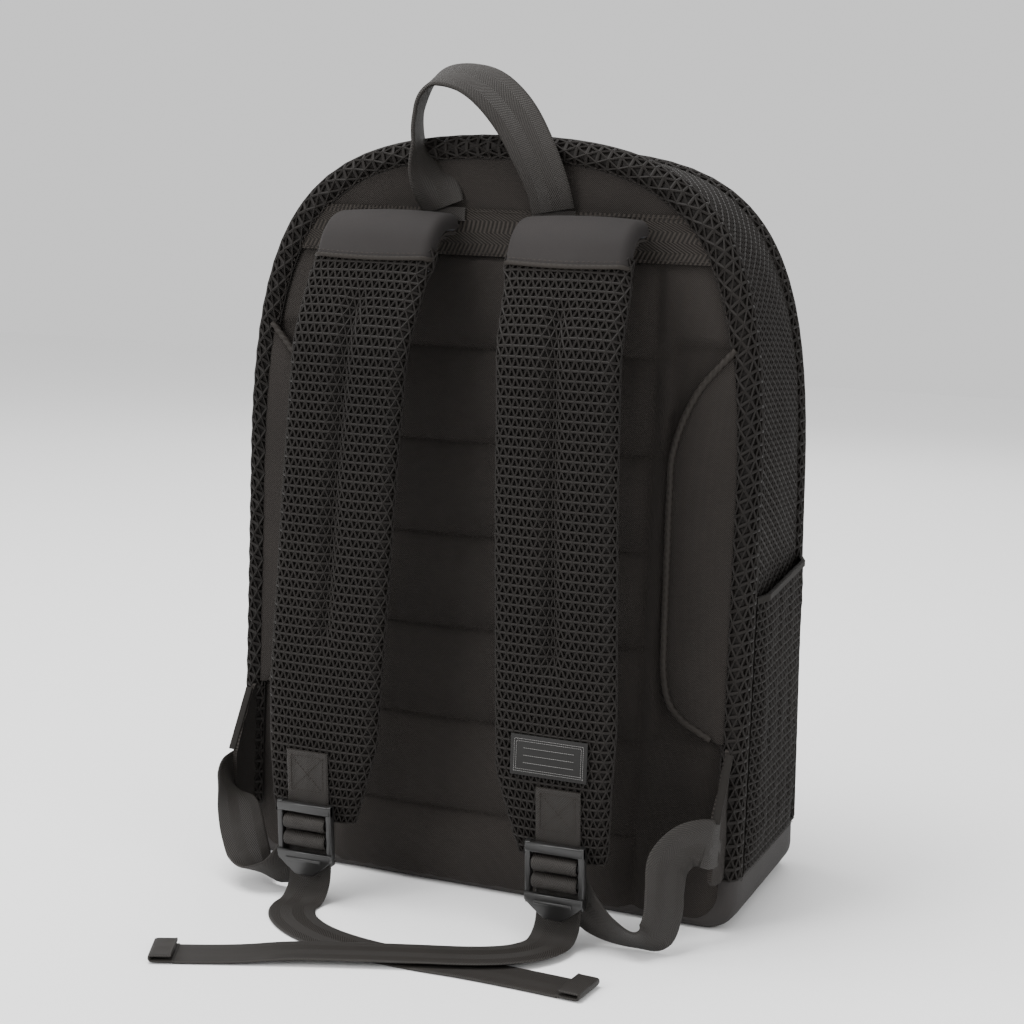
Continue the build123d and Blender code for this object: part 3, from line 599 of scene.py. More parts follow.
# %% The stitch tree
def bead_tree():
    """Set small beads along a line at an even pitch: stitches, and the teeth of a zip."""
    tree = bpy.data.node_groups.new("beads_on_line", "GeometryNodeTree")
    face = tree.interface
    face.new_socket("Geometry", in_out="INPUT", socket_type="NodeSocketGeometry")
    for label, value in (("Pitch", 0.003), ("Long", 0.0022), ("Wide", 0.0006), ("High", 0.0006)):
        face.new_socket(label, in_out="INPUT", socket_type="NodeSocketFloat").default_value = value
    face.new_socket("Material", in_out="INPUT", socket_type="NodeSocketMaterial")
    face.new_socket("Geometry", in_out="OUTPUT", socket_type="NodeSocketGeometry")
    source, result = tree.nodes.new("NodeGroupInput"), tree.nodes.new("NodeGroupOutput")
    link = tree.links.new
    line = tree.nodes.new("GeometryNodeMeshToCurve")
    link(source.outputs["Geometry"], line.inputs["Mesh"])
    cut = tree.nodes.new("GeometryNodeResampleCurve")
    cut.mode = "LENGTH"
    link(line.outputs["Curve"], cut.inputs["Curve"])
    link(source.outputs["Pitch"], cut.inputs["Length"])
    tangent = tree.nodes.new("GeometryNodeInputTangent")
    turn = tree.nodes.new("FunctionNodeAlignRotationToVector")
    turn.axis = "X"
    link(tangent.outputs[0], turn.inputs["Vector"])
    bead = tree.nodes.new("GeometryNodeMeshIcoSphere")
    bead.inputs["Radius"].default_value = 0.5
    bead.inputs["Subdivisions"].default_value = 1
    size = tree.nodes.new("ShaderNodeCombineXYZ")
    for slot, label in zip(size.inputs, ("Long", "Wide", "High")):
        link(source.outputs[label], slot)
    put = tree.nodes.new("GeometryNodeInstanceOnPoints")
    link(cut.outputs["Curve"], put.inputs["Points"])
    link(bead.outputs["Mesh"], put.inputs["Instance"])
    link(turn.outputs["Rotation"], put.inputs["Rotation"])
    link(size.outputs[0], put.inputs["Scale"])
    real = tree.nodes.new("GeometryNodeRealizeInstances")
    link(put.outputs["Instances"], real.inputs["Geometry"])
    paint = tree.nodes.new("GeometryNodeSetMaterial")
    link(real.outputs["Geometry"], paint.inputs["Geometry"])
    link(source.outputs["Material"], paint.inputs["Material"])
    link(paint.outputs["Geometry"], result.inputs["Geometry"])
    return tree


def through(piece, tree, **values):
    """Run a piece through a Geometry Nodes tree and keep the plain mesh."""
    modifier = piece.modifiers.new("shape", "NODES")
    modifier.node_group = tree
    for item in tree.interface.items_tree:
        if item.in_out == "INPUT" and item.name in values:
            modifier[item.identifier] = values[item.name]
    bpy.context.view_layer.update()
    shaped = bpy.data.meshes.new_from_object(piece.evaluated_get(bpy.context.evaluated_depsgraph_get()))
    piece.modifiers.remove(modifier)
    piece.data = shaped
    return piece


KNIT = knit_tree()
BEADS = bead_tree()


# %% Nets and stitch lines
def net(name, rows, away=(0, 0, 200)):
    """A net of triangles over rows of points; every second row is shifted by half a cell."""
    picks, verts, faces, start = [], [], [], 0
    for j, row in enumerate(rows):
        last = len(row) - 1
        chosen = list(range(0, last + 1, 2)) if j % 2 == 0 else [0] + list(range(1, last, 2)) + [last]
        picks.append(range(start, start + len(chosen)))
        verts += [row[k] for k in chosen]
        start += len(chosen)
    for j in range(len(rows) - 1):
        even, odd = (picks[j], picks[j + 1]) if j % 2 == 0 else (picks[j + 1], picks[j])
        part = [(even[k], even[k + 1], odd[k + 1]) for k in range(len(even) - 1)]
        part += [(odd[k + 1], odd[k], even[k]) for k in range(len(odd) - 1)]
        faces += part if j % 2 == 0 else [f[::-1] for f in part]
    points = np.array(verts, float)
    a, b, c = (points[[f[k] for f in faces]] for k in range(3))
    if np.sum(np.cross(b - a, c - a) * (a - np.array(away, float))) < 0:
        faces = [f[::-1] for f in faces]
    return add_mesh(name, points, faces, MESH_YARN)


def knit(name, rows, away=(0, 0, 200), thick=2.0, hole=0.62, depth=1.6, ridge=0.35):
    """A piece of thick mesh fabric over rows of points."""
    piece = through(net(name, rows, away), KNIT, Thickness=thick * MM, Hole=hole, Depth=depth * MM,
                    Ridge=ridge * MM, Material=MESH_YARN)
    piece.data.shade_flat()
    return piece


def stitches(name, line, pitch=3.0, long=2.2, wide=0.7, high=0.7, material=THREAD):
    """A row of stitches along a line of points."""
    mesh = bpy.data.meshes.new(name)
    mesh.from_pydata((np.array(line, float) * MM).tolist(), [(k, k + 1) for k in range(len(line) - 1)], [])
    piece = bpy.data.objects.new(name, mesh)
    bpy.context.scene.collection.objects.link(piece)
    return through(piece, BEADS, Pitch=pitch * MM, Long=long * MM, Wide=wide * MM, High=high * MM,
                   Material=material)


def rope(name, line, radius, material, turn=4.5, sides=12):
    """A twisted cord of two strands along a line; turn is the length of one full twist."""
    line = np.array(line, float)
    tangent = np.gradient(line, axis=0)
    tangent /= np.linalg.norm(tangent, axis=1, keepdims=True)
    side = np.cross(tangent, (0.03, 1.0, 0.02))
    side /= np.linalg.norm(side, axis=1, keepdims=True)
    up = np.cross(side, tangent)
    run = lengths(line[None], 1)[0]
    verts, faces = [], []
    for c, a, b, s in zip(line, side, up, run):
        for k in range(sides):
            angle = 2 * pi * k / sides
            size = radius * (0.74 + 0.26 * abs(cos(angle - pi * s / turn)))
            verts.append(c + (a * cos(angle) + b * sin(angle)) * size)
    for j in range(len(line) - 1):
        for k in range(sides):
            m = (k + 1) % sides
            faces.append((j * sides + k, j * sides + m, (j + 1) * sides + m, (j + 1) * sides + k))
    faces.append(tuple(range(sides - 1, -1, -1)))
    faces.append(tuple(range((len(line) - 1) * sides, len(line) * sides)))
    return add_mesh(name, verts, faces, material)


# %% [markdown]
# ## The shape of the bag
# Every ring of the bag is the same D outline at its own size: straight sides, then one curve up to
# the crown. The rear ring stands upright and the front ring leans back with the front face.

# %% Outlines
SHOULDER, RISE, REACH = 0.57, 0.80, 0.77
rim_high = box_mm("rear_rim")[1]
RIM_HALF, BODY_HEIGHT = rim_high[0], rim_high[2]
GUSSET_HALF, GUSSET_TOP = box_mm("gusset")[1][0], BODY_HEIGHT - 6
FRONT_HALF, FRONT_RIM_HALF = GUSSET_HALF - 7, GUSSET_HALF - 1
REAR_Y, FRONT_Y = 62.0, -71.0
LEAN = atan(36 / 432)
BOOT_TOP = box_mm("base_boot")[1][2]
RIM_SHOWN = 12.0
INNER_HALF, INNER_TOP = RIM_HALF - RIM_SHOWN, BODY_HEIGHT - RIM_SHOWN


def arch(half_width, top, count, foot):
    """Points (x, z) of the outline from the left foot, over the crown, to the right foot."""
    t = np.linspace(0, 1, 90)[:, None]
    low = SHOULDER * top
    a, b, c, d = (np.array(p) for p in ((half_width, low), (half_width, low + RISE * (top - low)),
                                        (REACH * half_width, top), (0, top)))
    curve = (1 - t)**3 * a + 3 * (1 - t)**2 * t * b + 3 * (1 - t) * t**2 * c + t**3 * d
    right = np.concatenate([[(half_width, foot)], curve])
    path = np.concatenate([right * (-1, 1), right[-2::-1]])
    run = lengths(path[None], 1)[0]
    steps = np.linspace(0, run[-1], count)
    return np.stack([np.interp(steps, run, path[:, 0]), np.interp(steps, run, path[:, 1])], axis=1)


def width_at(z, half_width, top):
    """Half the outline's width at a height."""
    side = arch(half_width, top, 1600, 0)[800:][::-1]
    return np.interp(z, side[:, 1], side[:, 0])


def on_rear(outline, y):
    """Stand an outline upright at a depth."""
    return np.stack([outline[:, 0], np.full(len(outline), y), outline[:, 1]], axis=1)


def on_front(outline, out):
    """Lay an outline on the leaning front face, raised off it by out."""
    x, up = outline[:, 0], outline[:, 1]
    return np.stack([x, FRONT_Y + up * sin(LEAN) - out * cos(LEAN), up * cos(LEAN) + out * sin(LEAN)],
                    axis=1)


def ripple(a, b, seed=0.0):
    """A smooth, unhurried unevenness from -1 to 1, the same in every run."""
    return (np.sin(a * 0.071 + seed) * np.sin(b * 0.053 + 1.3 * seed + 0.7)
            + 0.6 * np.sin(a * 0.13 - b * 0.087 + 2.1 * seed) + 0.4 * np.sin(a * 0.029 + b * 0.17 + seed)) / 2


# %% [markdown]
# ## Mesh sides
# The gusset is one band of mesh from the rear rim to the front rim. Its lines of struts run round
# the bag, and between the two rims the cloth sinks in a little.

# %% Gusset and its lining
rows = []
for t in np.linspace(0.0, 1.0, 19):
    half = GUSSET_HALF + (FRONT_HALF - GUSSET_HALF) * t + 0.8 + 0.8 * sin(pi * t)
    count = 2 * 162 + 1
    rear_line = on_rear(arch(half, GUSSET_TOP + 0.8 + 0.8 * sin(pi * t), count, BOOT_TOP - 1), REAR_Y + 3)
    front_line = on_front(arch(half, GUSSET_TOP + 0.8 + 0.8 * sin(pi * t), count, BOOT_TOP - 1), -10)
    line = rear_line * (1 - t) + front_line * t
    line[:, 0] += 0.5 * ripple(line[:, 1], line[:, 2], 0.4) * np.sign(line[:, 0])
    rows.append(line)
gusset = knit("mesh_gusset", rows, hole=0.60, depth=1.3)
wear_on(gusset, "pack", "gusset_mesh", "gusset")

lining_rows = []
for t in np.linspace(0.0, 1.0, 9):
    half = GUSSET_HALF + (FRONT_HALF - GUSSET_HALF) * t - 4.6
    outline = arch(half, GUSSET_TOP - 5, 90, 12)
    lining_rows.append(on_rear(outline, REAR_Y) * (1 - t) + on_front(outline, -8) * t)
lining = sheet_mesh("side_lining", np.array(lining_rows), 0.8, LINING)
wear_on(lining, "pack", "lining")
print("gusset faces", len(gusset.data.polygons))

# %% [markdown]
# ## Rims
# At each edge the mesh wraps a padded roll. Its section swells out of the gusset, turns over and
# goes down into the seam of the face, and a row of stitches closes it.


# %% Rims
def rim_rows(section, place, half_width, top, steps, columns):
    """Rows across a rim: the section is a list of (inset from the outer edge, depth)."""
    shape = spline(section, columns)
    rings = [place(arch(half_width - inset, top - inset, steps, BOOT_TOP + 1), depth)
             for inset, depth in shape]
    return np.transpose(np.array(rings), (1, 0, 2))


rear_section = ((7.5, 63), (3.2, 63.8), (1.9, 67), (1.7, 72), (3.2, 76.4), (6.2, 78.3), (9.4, 77.6),
                (12.0, 74.4))
rear_rim = knit("rear_rim_mesh", rim_rows(rear_section, on_rear, RIM_HALF, BODY_HEIGHT, 151, 13),
                away=(0, 40, 200), hole=0.62, depth=1.8)
wear_on(rear_rim, "pack", "rim_mesh", "rear_rim")
front_section = ((7.5, -15), (3.8, -13.5), (2.9, -10), (3.0, -4), (4.6, -0.4), (8, 0.8), (12.5, -0.4),
                 (15.2, -4.0))
front_rim = knit("front_rim_mesh", rim_rows(front_section, on_front, FRONT_RIM_HALF, BODY_HEIGHT, 145, 13),
                 away=(0, -20, 200), hole=0.62, depth=1.8)
wear_on(front_rim, "pack", "rim_mesh", "front_rim")
rim_seams = [
    stitches("rim_seam_rear", on_rear(arch(RIM_HALF - 12.4, BODY_HEIGHT - 12.4, 400, BOOT_TOP + 2), 76.6)),
    stitches("rim_seam_side", on_rear(arch(RIM_HALF - 3.6, BODY_HEIGHT - 3.6, 400, BOOT_TOP + 2), 63.4)),
    stitches("rim_seam_front",
             on_front(arch(FRONT_RIM_HALF - 15.6, BODY_HEIGHT - 15.6, 400, BOOT_TOP + 2), -1.6)),
]
wear_on(join("rim_seams", *rim_seams), "pack", "webbing_cloth")

# %% [markdown]
# ## Boot and board
# The foot of the bag is a smooth coated cloth. One sheet goes down one side, under the bag and up
# the other side, and its front end turns over a rounded edge to make the front wall.


# %% Boot
def trough(half_width, low, high, radius):
    """A U outline: down the left side, round two corners and up the right side."""
    angle = np.linspace(0, pi / 2, 9)
    corner = np.stack([half_width - radius + radius * np.cos(angle), low + radius - radius * np.sin(angle)],
                      1)
    side = np.array([(half_width, z) for z in np.linspace(high, low + radius, 6)[:-1]])
    bottom = np.array([(x, low) for x in np.linspace(half_width - radius, 0, 12)[1:]])
    right = np.concatenate([side, corner, bottom])
    return np.concatenate([right * (-1, 1), right[-2::-1]])


boot_rows = []
for inset, depth in ((10, 73.0), (6.5, 74.8), (3.2, 74.4), (1.0, 71.5), (0.1, 66.5), (0, 58)):
    boot_rows.append(on_rear(trough(GUSSET_HALF + 4 - inset, inset * 0.8, BOOT_TOP, 16), depth))
rear_ring = boot_rows[-1]
front_ring = on_front(trough(FRONT_HALF + 4, 0, BOOT_TOP, 16), -8)
boot_rows += [rear_ring * (1 - t) + front_ring * t for t in np.linspace(0, 1, 14)[1:]]
for inset, out in ((0.8, -5.2), (3.0, -3.1), (6.5, -2.2)):
    boot_rows.append(on_front(trough(FRONT_HALF + 4 - inset, inset * 0.8, BOOT_TOP, 16 - inset), out))
last = trough(FRONT_HALF - 2.5, 5.2, BOOT_TOP, 9.5)
for share in (0.9, 0.7, 0.5, 0.3, 0.1, 0.01):
    boot_rows.append(on_front((last - (0, BOOT_TOP)) * (share, share) + (0, BOOT_TOP), -2.1))
boot_rows = np.array(boot_rows)
boot_rows[..., 2] = np.maximum(boot_rows[..., 2], 0)
boot = sheet_mesh("base_boot_cloth", boot_rows, 1.2, BOOT_CLOTH, away=(0, 0, 30), angle=60)
wear_on(boot, "pack", "boot_cloth", "base_boot")
seam_z = BOOT_TOP - 2.5
boot_seams = []
for name, side in SIDES:
    line = [(side * (GUSSET_HALF + 4.1 - 7 * t), REAR_Y * (1 - t) - 62 * t, seam_z)
            for t in np.linspace(0, 1, 60)]
    boot_seams.append(stitches(f"boot_seam_{name}", line))
    edge = [(side * (GUSSET_HALF + 4.3 - 7 * t), REAR_Y * (1 - t) - 63 * t, BOOT_TOP + 0.2)
            for t in np.linspace(0, 1, 60)]
    boot_seams.append(rope(f"boot_edge_{name}", edge, 1.0, BINDING, turn=400, sides=8))
wear_on(join("boot_seams", *boot_seams), "pack", "binding")
for node in ("base_board", "back_stiffener"):
    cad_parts[node].data.materials.clear()
    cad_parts[node].data.materials.append(BOARD)

# %% [markdown]
# ## The quilted back
# The pad is twill sewn down to foam in level seams. Between two seams the cloth stands up in a soft
# pillow that is fullest in the middle and pulled tight, with small puckers, where it is sewn.

# %% Quilted panel
BACK_Y = box_mm("back_panel")[1][1]
BAND_LOW, BAND_TOP = box_mm("anchor_band")[0][2], box_mm("anchor_band")[1][2]
SEAMS = [45.5 + 53.5 * k for k in range(6)]
QUILT_HALF = 95.0
quilt_edges = [2.0] + SEAMS + [BAND_LOW]
z_rows = np.concatenate([np.linspace(a, b, 19)[:-1] for a, b in zip(quilt_edges, quilt_edges[1:])]
                        + [[BAND_LOW]])
grid = []
for z in z_rows:
    corner = max(0.0, 16 - (z - 2))
    half = width_at(z, INNER_HALF, INNER_TOP) + 1.0 - (16 - np.sqrt(max(0.0, 256 - corner**2)))
    x = np.linspace(-half, half, 121)
    k = min(max(np.searchsorted(quilt_edges, z, side="right") - 1, 0), len(quilt_edges) - 2)
    share = (z - quilt_edges[k]) / (quilt_edges[k + 1] - quilt_edges[k])
    pillow = np.sin(pi * min(max(share, 0), 1)) ** 0.55
    inside = np.clip((QUILT_HALF - np.abs(x)) / 9, 0, 1) ** 0.6
    pucker = 0.35 * np.sin(x * 0.42 + 2.4 * np.sin(x * 0.031 + z)) * (1 - pillow) * pillow * 4
    outer = np.clip((np.abs(x) - QUILT_HALF) / 6, 0, 1) * np.clip((half - np.abs(x)) / 8, 0, 1)
    under = np.where((np.abs(x) > 106) & (z > 104) & (z < 322), 0.0, 1.0)
    rise = 5.2 * pillow * inside + pucker * inside + 2.6 * outer * under * (0.3 + 0.7 * pillow)
    y = BACK_Y - 3.0 + rise + 0.25 * ripple(x, np.full_like(x, z), 0.8)
    grid.append(np.stack([x, y, np.full_like(x, z)], axis=1))
quilt = sheet_mesh("quilted_back", np.array(grid), 5.0, TWILL_CLOTH, away=(0, 0, 200), angle=60,
                   level_weave=True)
wear_on(quilt, "pack", "quilt_mesh", "back_panel")
quilt_lines = [stitches(f"quilt_seam_{round(z)}",
                        [(x, BACK_Y - 2.75, z) for x in np.linspace(-QUILT_HALF, QUILT_HALF, 80)])
               for z in SEAMS]
quilt_lines += [stitches(f"quilt_side_{name}",
                         [(side * QUILT_HALF, BACK_Y - 2.75, z) for z in np.linspace(6, 360, 120)])
                for name, side in SIDES]
wear_on(join("quilt_stitches", *quilt_lines), "pack", "webbing_cloth")

# %% [markdown]
# ## Band, yoke and side panels
# A strip of herringbone webbing crosses the back: it anchors the straps and the handle. Above it is
# the plain yoke, and at each side a smooth panel is set in with a twisted cord in its seam.

# %% Band and yoke
def d_panel(z_values, half_width, top, y_of, columns=60):
    """A face panel inside the D outline: rows across at the given heights."""
    panel = []
    for z in z_values:
        x = np.linspace(-1, 1, columns) * (width_at(z, half_width, top) + 0.6)
        panel.append(np.stack([x, y_of(x, np.full_like(x, z)), np.full_like(x, z)], axis=1))
    return np.array(panel)


band = sheet_mesh("anchor_band_webbing", d_panel(
    np.linspace(BAND_LOW, BAND_TOP, 9), INNER_HALF, INNER_TOP,
    lambda x, z: BACK_Y - 0.15 + 0.15 * ripple(x, z, 2.0)), 3.0, FINE_WEBBING)
wear_on(band, "pack", "webbing_cloth", "anchor_band")
crown_z = BAND_TOP + (INNER_TOP - BAND_TOP) * np.sin(np.linspace(0, pi / 2, 18))
yoke = sheet_mesh("yoke_cloth", d_panel(
    crown_z, INNER_HALF, INNER_TOP,
    lambda x, z: (BACK_Y - 1.2 + 0.9 * np.sin(pi * (z - BAND_TOP) / (INNER_TOP - BAND_TOP))
                  + 0.5 * ripple(2 * x, z, 1.1)),
    90), 3.0, TWILL_CLOTH, level_weave=True)
wear_on(yoke, "pack", "twill_cloth", "yoke_panel")
band_lines = []
for z in (BAND_LOW + 1.6, BAND_TOP - 1.6):
    half = width_at(z, INNER_HALF, INNER_TOP) - 2
    band_lines.append(stitches(f"band_stitch_{round(z)}",
                               [(x, BACK_Y + 0.05, z) for x in np.linspace(-half, half, 120)]))
wear_on(join("band_stitches", *band_lines), "pack", "webbing_cloth")

# %% Side panels and piping
SIDE_SEAM = ((142, 321), (131, 309), (122, 297.5), (114, 281), (108.8, 262), (108.2, 240), (108.5, 200),
             (108.9, 160), (109.6, 142), (113, 127), (121, 117.5), (131, 112), (142, 106.5))
for name, side in SIDES:
    route = spline(SIDE_SEAM, 300)
    order = np.argsort(route[:, 1])
    rows = []
    for z in np.concatenate([np.linspace(106.5, 130, 14)[:-1], np.linspace(130, 290, 40)[:-1],
                             np.linspace(290, 321, 16)]):
        start = np.interp(z, route[order, 1], route[order, 0])
        end = max(width_at(z, INNER_HALF, INNER_TOP) + 0.8, start + 0.2)
        x = np.linspace(start, end, 16)
        share = (x - start) / (end - start)
        y = (BACK_Y + 1.4 + 1.5 * np.sin(pi * share) ** 0.7 * min((end - start) / 20, 1)
             + 0.3 * ripple(3 * x, np.full_like(x, z), side))
        rows.append(np.stack([side * x, y, np.full_like(x, z)], axis=1))
    panel = sheet_mesh(f"side_panel_cloth_{name}", np.array(rows), 1.4, TWILL_CLOTH, level_weave=True)
    wear_on(panel, "pack", "twill_cloth", f"side_panel_{name}")
    cord_line = np.stack([side * route[:, 0], np.full(len(route), BACK_Y + 1.9), route[:, 1]], axis=1)
    piping = rope(f"side_piping_cord_{name}", spline(cord_line[::6], 420), 2.0, PIPING)
    wear_on(piping, "pack", "piping_cord", f"side_piping_{name}")
print("back finished")

# %% [markdown]
# ## Side pockets, wings and adjusters
# A bottle pocket of the same mesh stands off each side under an elastic binding. Behind it a folded
# wing of cloth carries the webbing that comes back up to the buckle.

# %% Side pockets and wings
def side_wall(y, z, out):
    """A point of the gusset's right side, raised by out."""
    t = (REAR_Y - y) / (REAR_Y - FRONT_Y)
    return (GUSSET_HALF + (FRONT_HALF - GUSSET_HALF) * t + out, y, z)


for name, side in SIDES:
    rows = []
    for z_share in np.linspace(0, 1, 31):
        row = []
        for y_share in np.linspace(0, 1, 37):
            low_y, high_y = REAR_Y - 1.5, -51 + 7 * z_share
            y = low_y + (high_y - low_y) * y_share
            top = 183 + 9 * y_share
            z = BOOT_TOP + 1 + (top - BOOT_TOP - 1) * z_share
            stand = min(1, sin(pi * y_share) * 3.2) * min(1, 0.25 + z_share * 6)
            stand *= 0.86 + 0.14 * ripple(4 * y, z, side + 2)
            x, y, z = side_wall(y, z, 3.6 + 4.2 * stand)
            row.append((side * x, y, z))
        rows.append(row)
    pocket = knit(f"side_pocket_mesh_{name}", rows, away=(0, 0, 100), thick=1.4, hole=0.60, depth=0.9)
    wear_on(pocket, "pack", "gusset_mesh", f"side_pocket_{name}")
    mouth = [side_wall(y, 184.5 + 9 * s, 3.9 + 4.4 * min(1, sin(pi * s) * 3.2))
             for s, y in zip(np.linspace(0, 1, 60), np.linspace(REAR_Y - 1.5, -43.5, 60))]
    mouth = np.array(mouth) * (side, 1, 1)
    band_piece = ribbon(f"pocket_mouth_{name}", mouth, np.tile((0, 0.0, 1.0), (60, 1)), 3.8, 2.4, BINDING)
    wear_on(band_piece, "pack", "binding", f"pocket_binding_{name}")
    rows = []
    for share in np.linspace(0, 1, 22):
        z = 33 + 72 * share
        tip = 79 + 21 * min(1, (105 - z) / 36, (z - 30) / 4)
        y = np.linspace(76, max(tip, 77), 12)
        x = side * (149.9 + 0.9 * np.sin(pi * (y - 76) / 24)
                    + 0.5 * ripple(6 * y, np.full_like(y, 3 * z), side))
        rows.append(np.stack([x, y, np.full_like(y, z)], axis=1))
    wing = sheet_mesh(f"wing_cloth_{name}", np.array(rows), 2.8, TWILL_CLOTH)
    edge = [(side * 150.6, 80 + 20 * t, 104.5 - 36.5 * t) for t in np.linspace(0.06, 0.98, 20)]
    wear_on(wing, "pack", "twill_cloth", f"wing_{name}")
    wear_on(ribbon(f"wing_edge_{name}", edge, np.tile((1.0, 0, 0), (20, 1)), 4.4, 1.6, BINDING), "pack",
            "binding")

# %% Adjusters
ADJUSTER_FRAMES = {
    LEFT: (((-149.8, 88, 56), (0, 0, 1)), ((-149.8, 100, 57), (0, 0, 1)), ((-146, 108, 60), (0.1, 0.1, 1)),
           ((-138, 114, 58), (0.3, 0.35, 0.9)), ((-131.5, 119, 49), (0.65, 0.6, 0.45)),
           ((-131.5, 123, 36), (0.55, 0.8, 0.1)),
           ((-132.5, 127, 24), (0.55, 0.8, 0.1)), ((-130, 130, 13.5), (0.55, 0.7, 0.35)),
           ((-123, 132, 9.2), (0.35, 0.75, 0.5)),
           ((-110, 132.5, 11), (-0.2, 0.7, 0.7)), ((-95, 132, 17.5), (-0.5, 0.4, 0.75)),
           ((-83, 131.5, 29), (-0.85, 0.2, 0.45)),
           ((-76.5, 132.2, 42), (-1, 0, 0.05)), ((-76, 132.8, 50), (-1, 0, 0))),
    RIGHT: (((149.8, 88, 54), (0, 0, 1)), ((149.8, 101, 54), (0.1, 0.05, 1)),
            ((145, 110, 51), (0.5, 0.3, 0.8)),
            ((136, 116, 42), (0.75, 0.5, 0.4)), ((129, 122, 30), (0.85, 0.5, 0.1)),
            ((121, 128, 18.5), (0.75, 0.65, 0.05)),
            ((112, 133, 11), (0.35, 0.8, 0.35)), ((101, 134.5, 11), (0, 0.75, 0.66)),
            ((90, 133.5, 18), (0.4, 0.45, 0.8)),
            ((81, 131.5, 31), (0.85, 0.2, 0.45)), ((76.5, 132.2, 42), (1, 0, 0.05)),
            ((76, 132.8, 50), (1, 0, 0))),
}


def framed_ribbon(name, frames, count, width, thick, material):
    """Webbing through a list of (middle, width direction)."""
    path = spline([f[0] for f in frames], count)
    stops = lengths(np.array([[f[0] for f in frames]], float), 1)[0]
    run = lengths(path[None], 1)[0] * stops[-1] / lengths(path[None], 1)[0][-1]
    turned = np.stack([np.interp(run, stops, [f[1][k] for f in frames]) for k in range(3)], axis=1)
    tangent = np.gradient(path, axis=0)
    tangent /= np.linalg.norm(tangent, axis=1, keepdims=True)
    turned -= tangent * np.sum(turned * tangent, axis=1, keepdims=True)
    return ribbon(name, path, turned, width, thick, material)


for name, side in SIDES:
    piece = framed_ribbon(f"adjuster_webbing_{name}", ADJUSTER_FRAMES[name], 110, WEB_WIDTH, WEB_THICK,
                          WEBBING)
    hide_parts(f"adjuster_{name}")
    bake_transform(piece)

# %% Laptop sleeve
sleeve = []
for z in np.linspace(330, 15, 24):
    x = np.linspace(-127, 127, 30)
    sleeve.append(np.stack([x, 40 + 1.2 * ripple(x, np.full_like(x, z), 3.0), np.full_like(x, z)], axis=1))
sleeve = sheet_mesh("laptop_sleeve_cloth", np.array(sleeve), 1.4, LINING, away=(0, 100, 200))
top_edge = ribbon("laptop_sleeve_edge", [(x, 40, 331) for x in np.linspace(-126, 126, 40)],
                  np.tile((0, 0, 1.0), (40, 1)), 8, 2.4, BINDING)
wear_on(sleeve, "pack", "lining", "laptop_sleeve")
wear_on(top_edge, "pack", "binding")
print("pockets, wings and webbing finished")

# %% [markdown]
# ## Front face
# Inside the front rim lies a fixed border of cloth, then the zip in an arch, and inside the zip the
# flap. The two zip tapes meet on a line of teeth. The flap bends where it is sewn to the lower front.


# %% Front border, tapes and teeth
def strip_between(name, outer, inner, place, out, thick, material, bulge=0.0, foot=BOOT_TOP + 2, columns=8,
                  steps=200):
    """A strip that follows the arch between two insets from the front rim's edge."""
    rings = []
    for share in np.linspace(0, 1, columns):
        inset = outer + (inner - outer) * share
        rings.append(place(arch(FRONT_RIM_HALF - inset, BODY_HEIGHT - inset, steps, foot),
                           out + bulge * sin(pi * share)))
    return sheet_mesh(name, np.array(rings), thick, material, away=(0, 0, 200))


border = strip_between("front_border", 14.6, 27.2, on_front, -2.6, 3.0, TWILL_CLOTH, bulge=0.9, columns=10)
wear_on(border, "pack", "twill_cloth", "front_frame")
fixed_tape = strip_between("main_zip_fixed_tape", 26.8, 35.0, on_front, -3.2, 1.5, ZIP_TAPE, foot=94.6)
wear_on(fixed_tape, "pack", "zip_tape", "main_zip_tape")
moving_tape = strip_between("main_zip_flap_tape", 35.8, 44.2, on_front, -3.2, 1.5, ZIP_TAPE, foot=95.0)
wear_on(moving_tape, "front_flap", "zip_tape", "flap_zip_tape")
teeth_line = on_front(arch(FRONT_RIM_HALF - 35.4, BODY_HEIGHT - 35.4, 900, 97), -2.7)
teeth = stitches("main_zip_teeth", teeth_line, pitch=1.5, long=1.0, wide=2.6, high=1.3, material=PLASTIC)
wear_on(teeth, "pack", "zip_tape")
FACE_SEAM_IN = 24.8
face_seam = on_front(arch(FRONT_RIM_HALF - FACE_SEAM_IN, BODY_HEIGHT - FACE_SEAM_IN, 500, 40), -1.5)
wear_on(stitches("face_stitches", face_seam), "pack", "webbing_cloth")


def front_sheet(name, ups, half_of, out_of, thick, material, columns=60):
    """A panel on the front face: half_of(up) is half its width and out_of(x, up) its height."""
    panel = []
    for up in ups:
        x = np.linspace(-1, 1, columns) * half_of(up)
        y = np.full_like(x, up)
        out = out_of(x, y)
        panel.append(np.stack([x, FRONT_Y + y * sin(LEAN) - out * cos(LEAN),
                               y * cos(LEAN) + out * sin(LEAN)], axis=1))
    return sheet_mesh(name, np.array(panel), thick, material, away=(0, 0, 200), level_weave=True)


lower = front_sheet("lower_front_cloth", np.linspace(30.5, 94.6, 20), lambda up: 123.2,
                    lambda x, up: -2.4 + 0.8 * np.sin(pi * (up - 30) / 65) + 0.5 * ripple(x, up, 4.0), 3.0,
                    TWILL_CLOTH)
wear_on(lower, "pack", "twill_cloth", "lower_front")
flap_top, flap_half = BODY_HEIGHT - 43.8, FRONT_RIM_HALF - 43.8
ups = np.concatenate([np.linspace(95.5, 240, 36)[:-1],
                      240 + (flap_top - 240) * np.sin(np.linspace(0, pi / 2, 44))])
flap = front_sheet("flap_cloth", ups, lambda up: width_at(up, flap_half, flap_top) + 0.4,
                   lambda x, up: -2.4 + 1.0 * ripple(x, up, 5.0) * np.clip((flap_top - up) / 20, 0, 1), 3.0,
                   TWILL_CLOTH, 90)
wear_on(flap, "front_flap", "twill_cloth", "flap_panel")
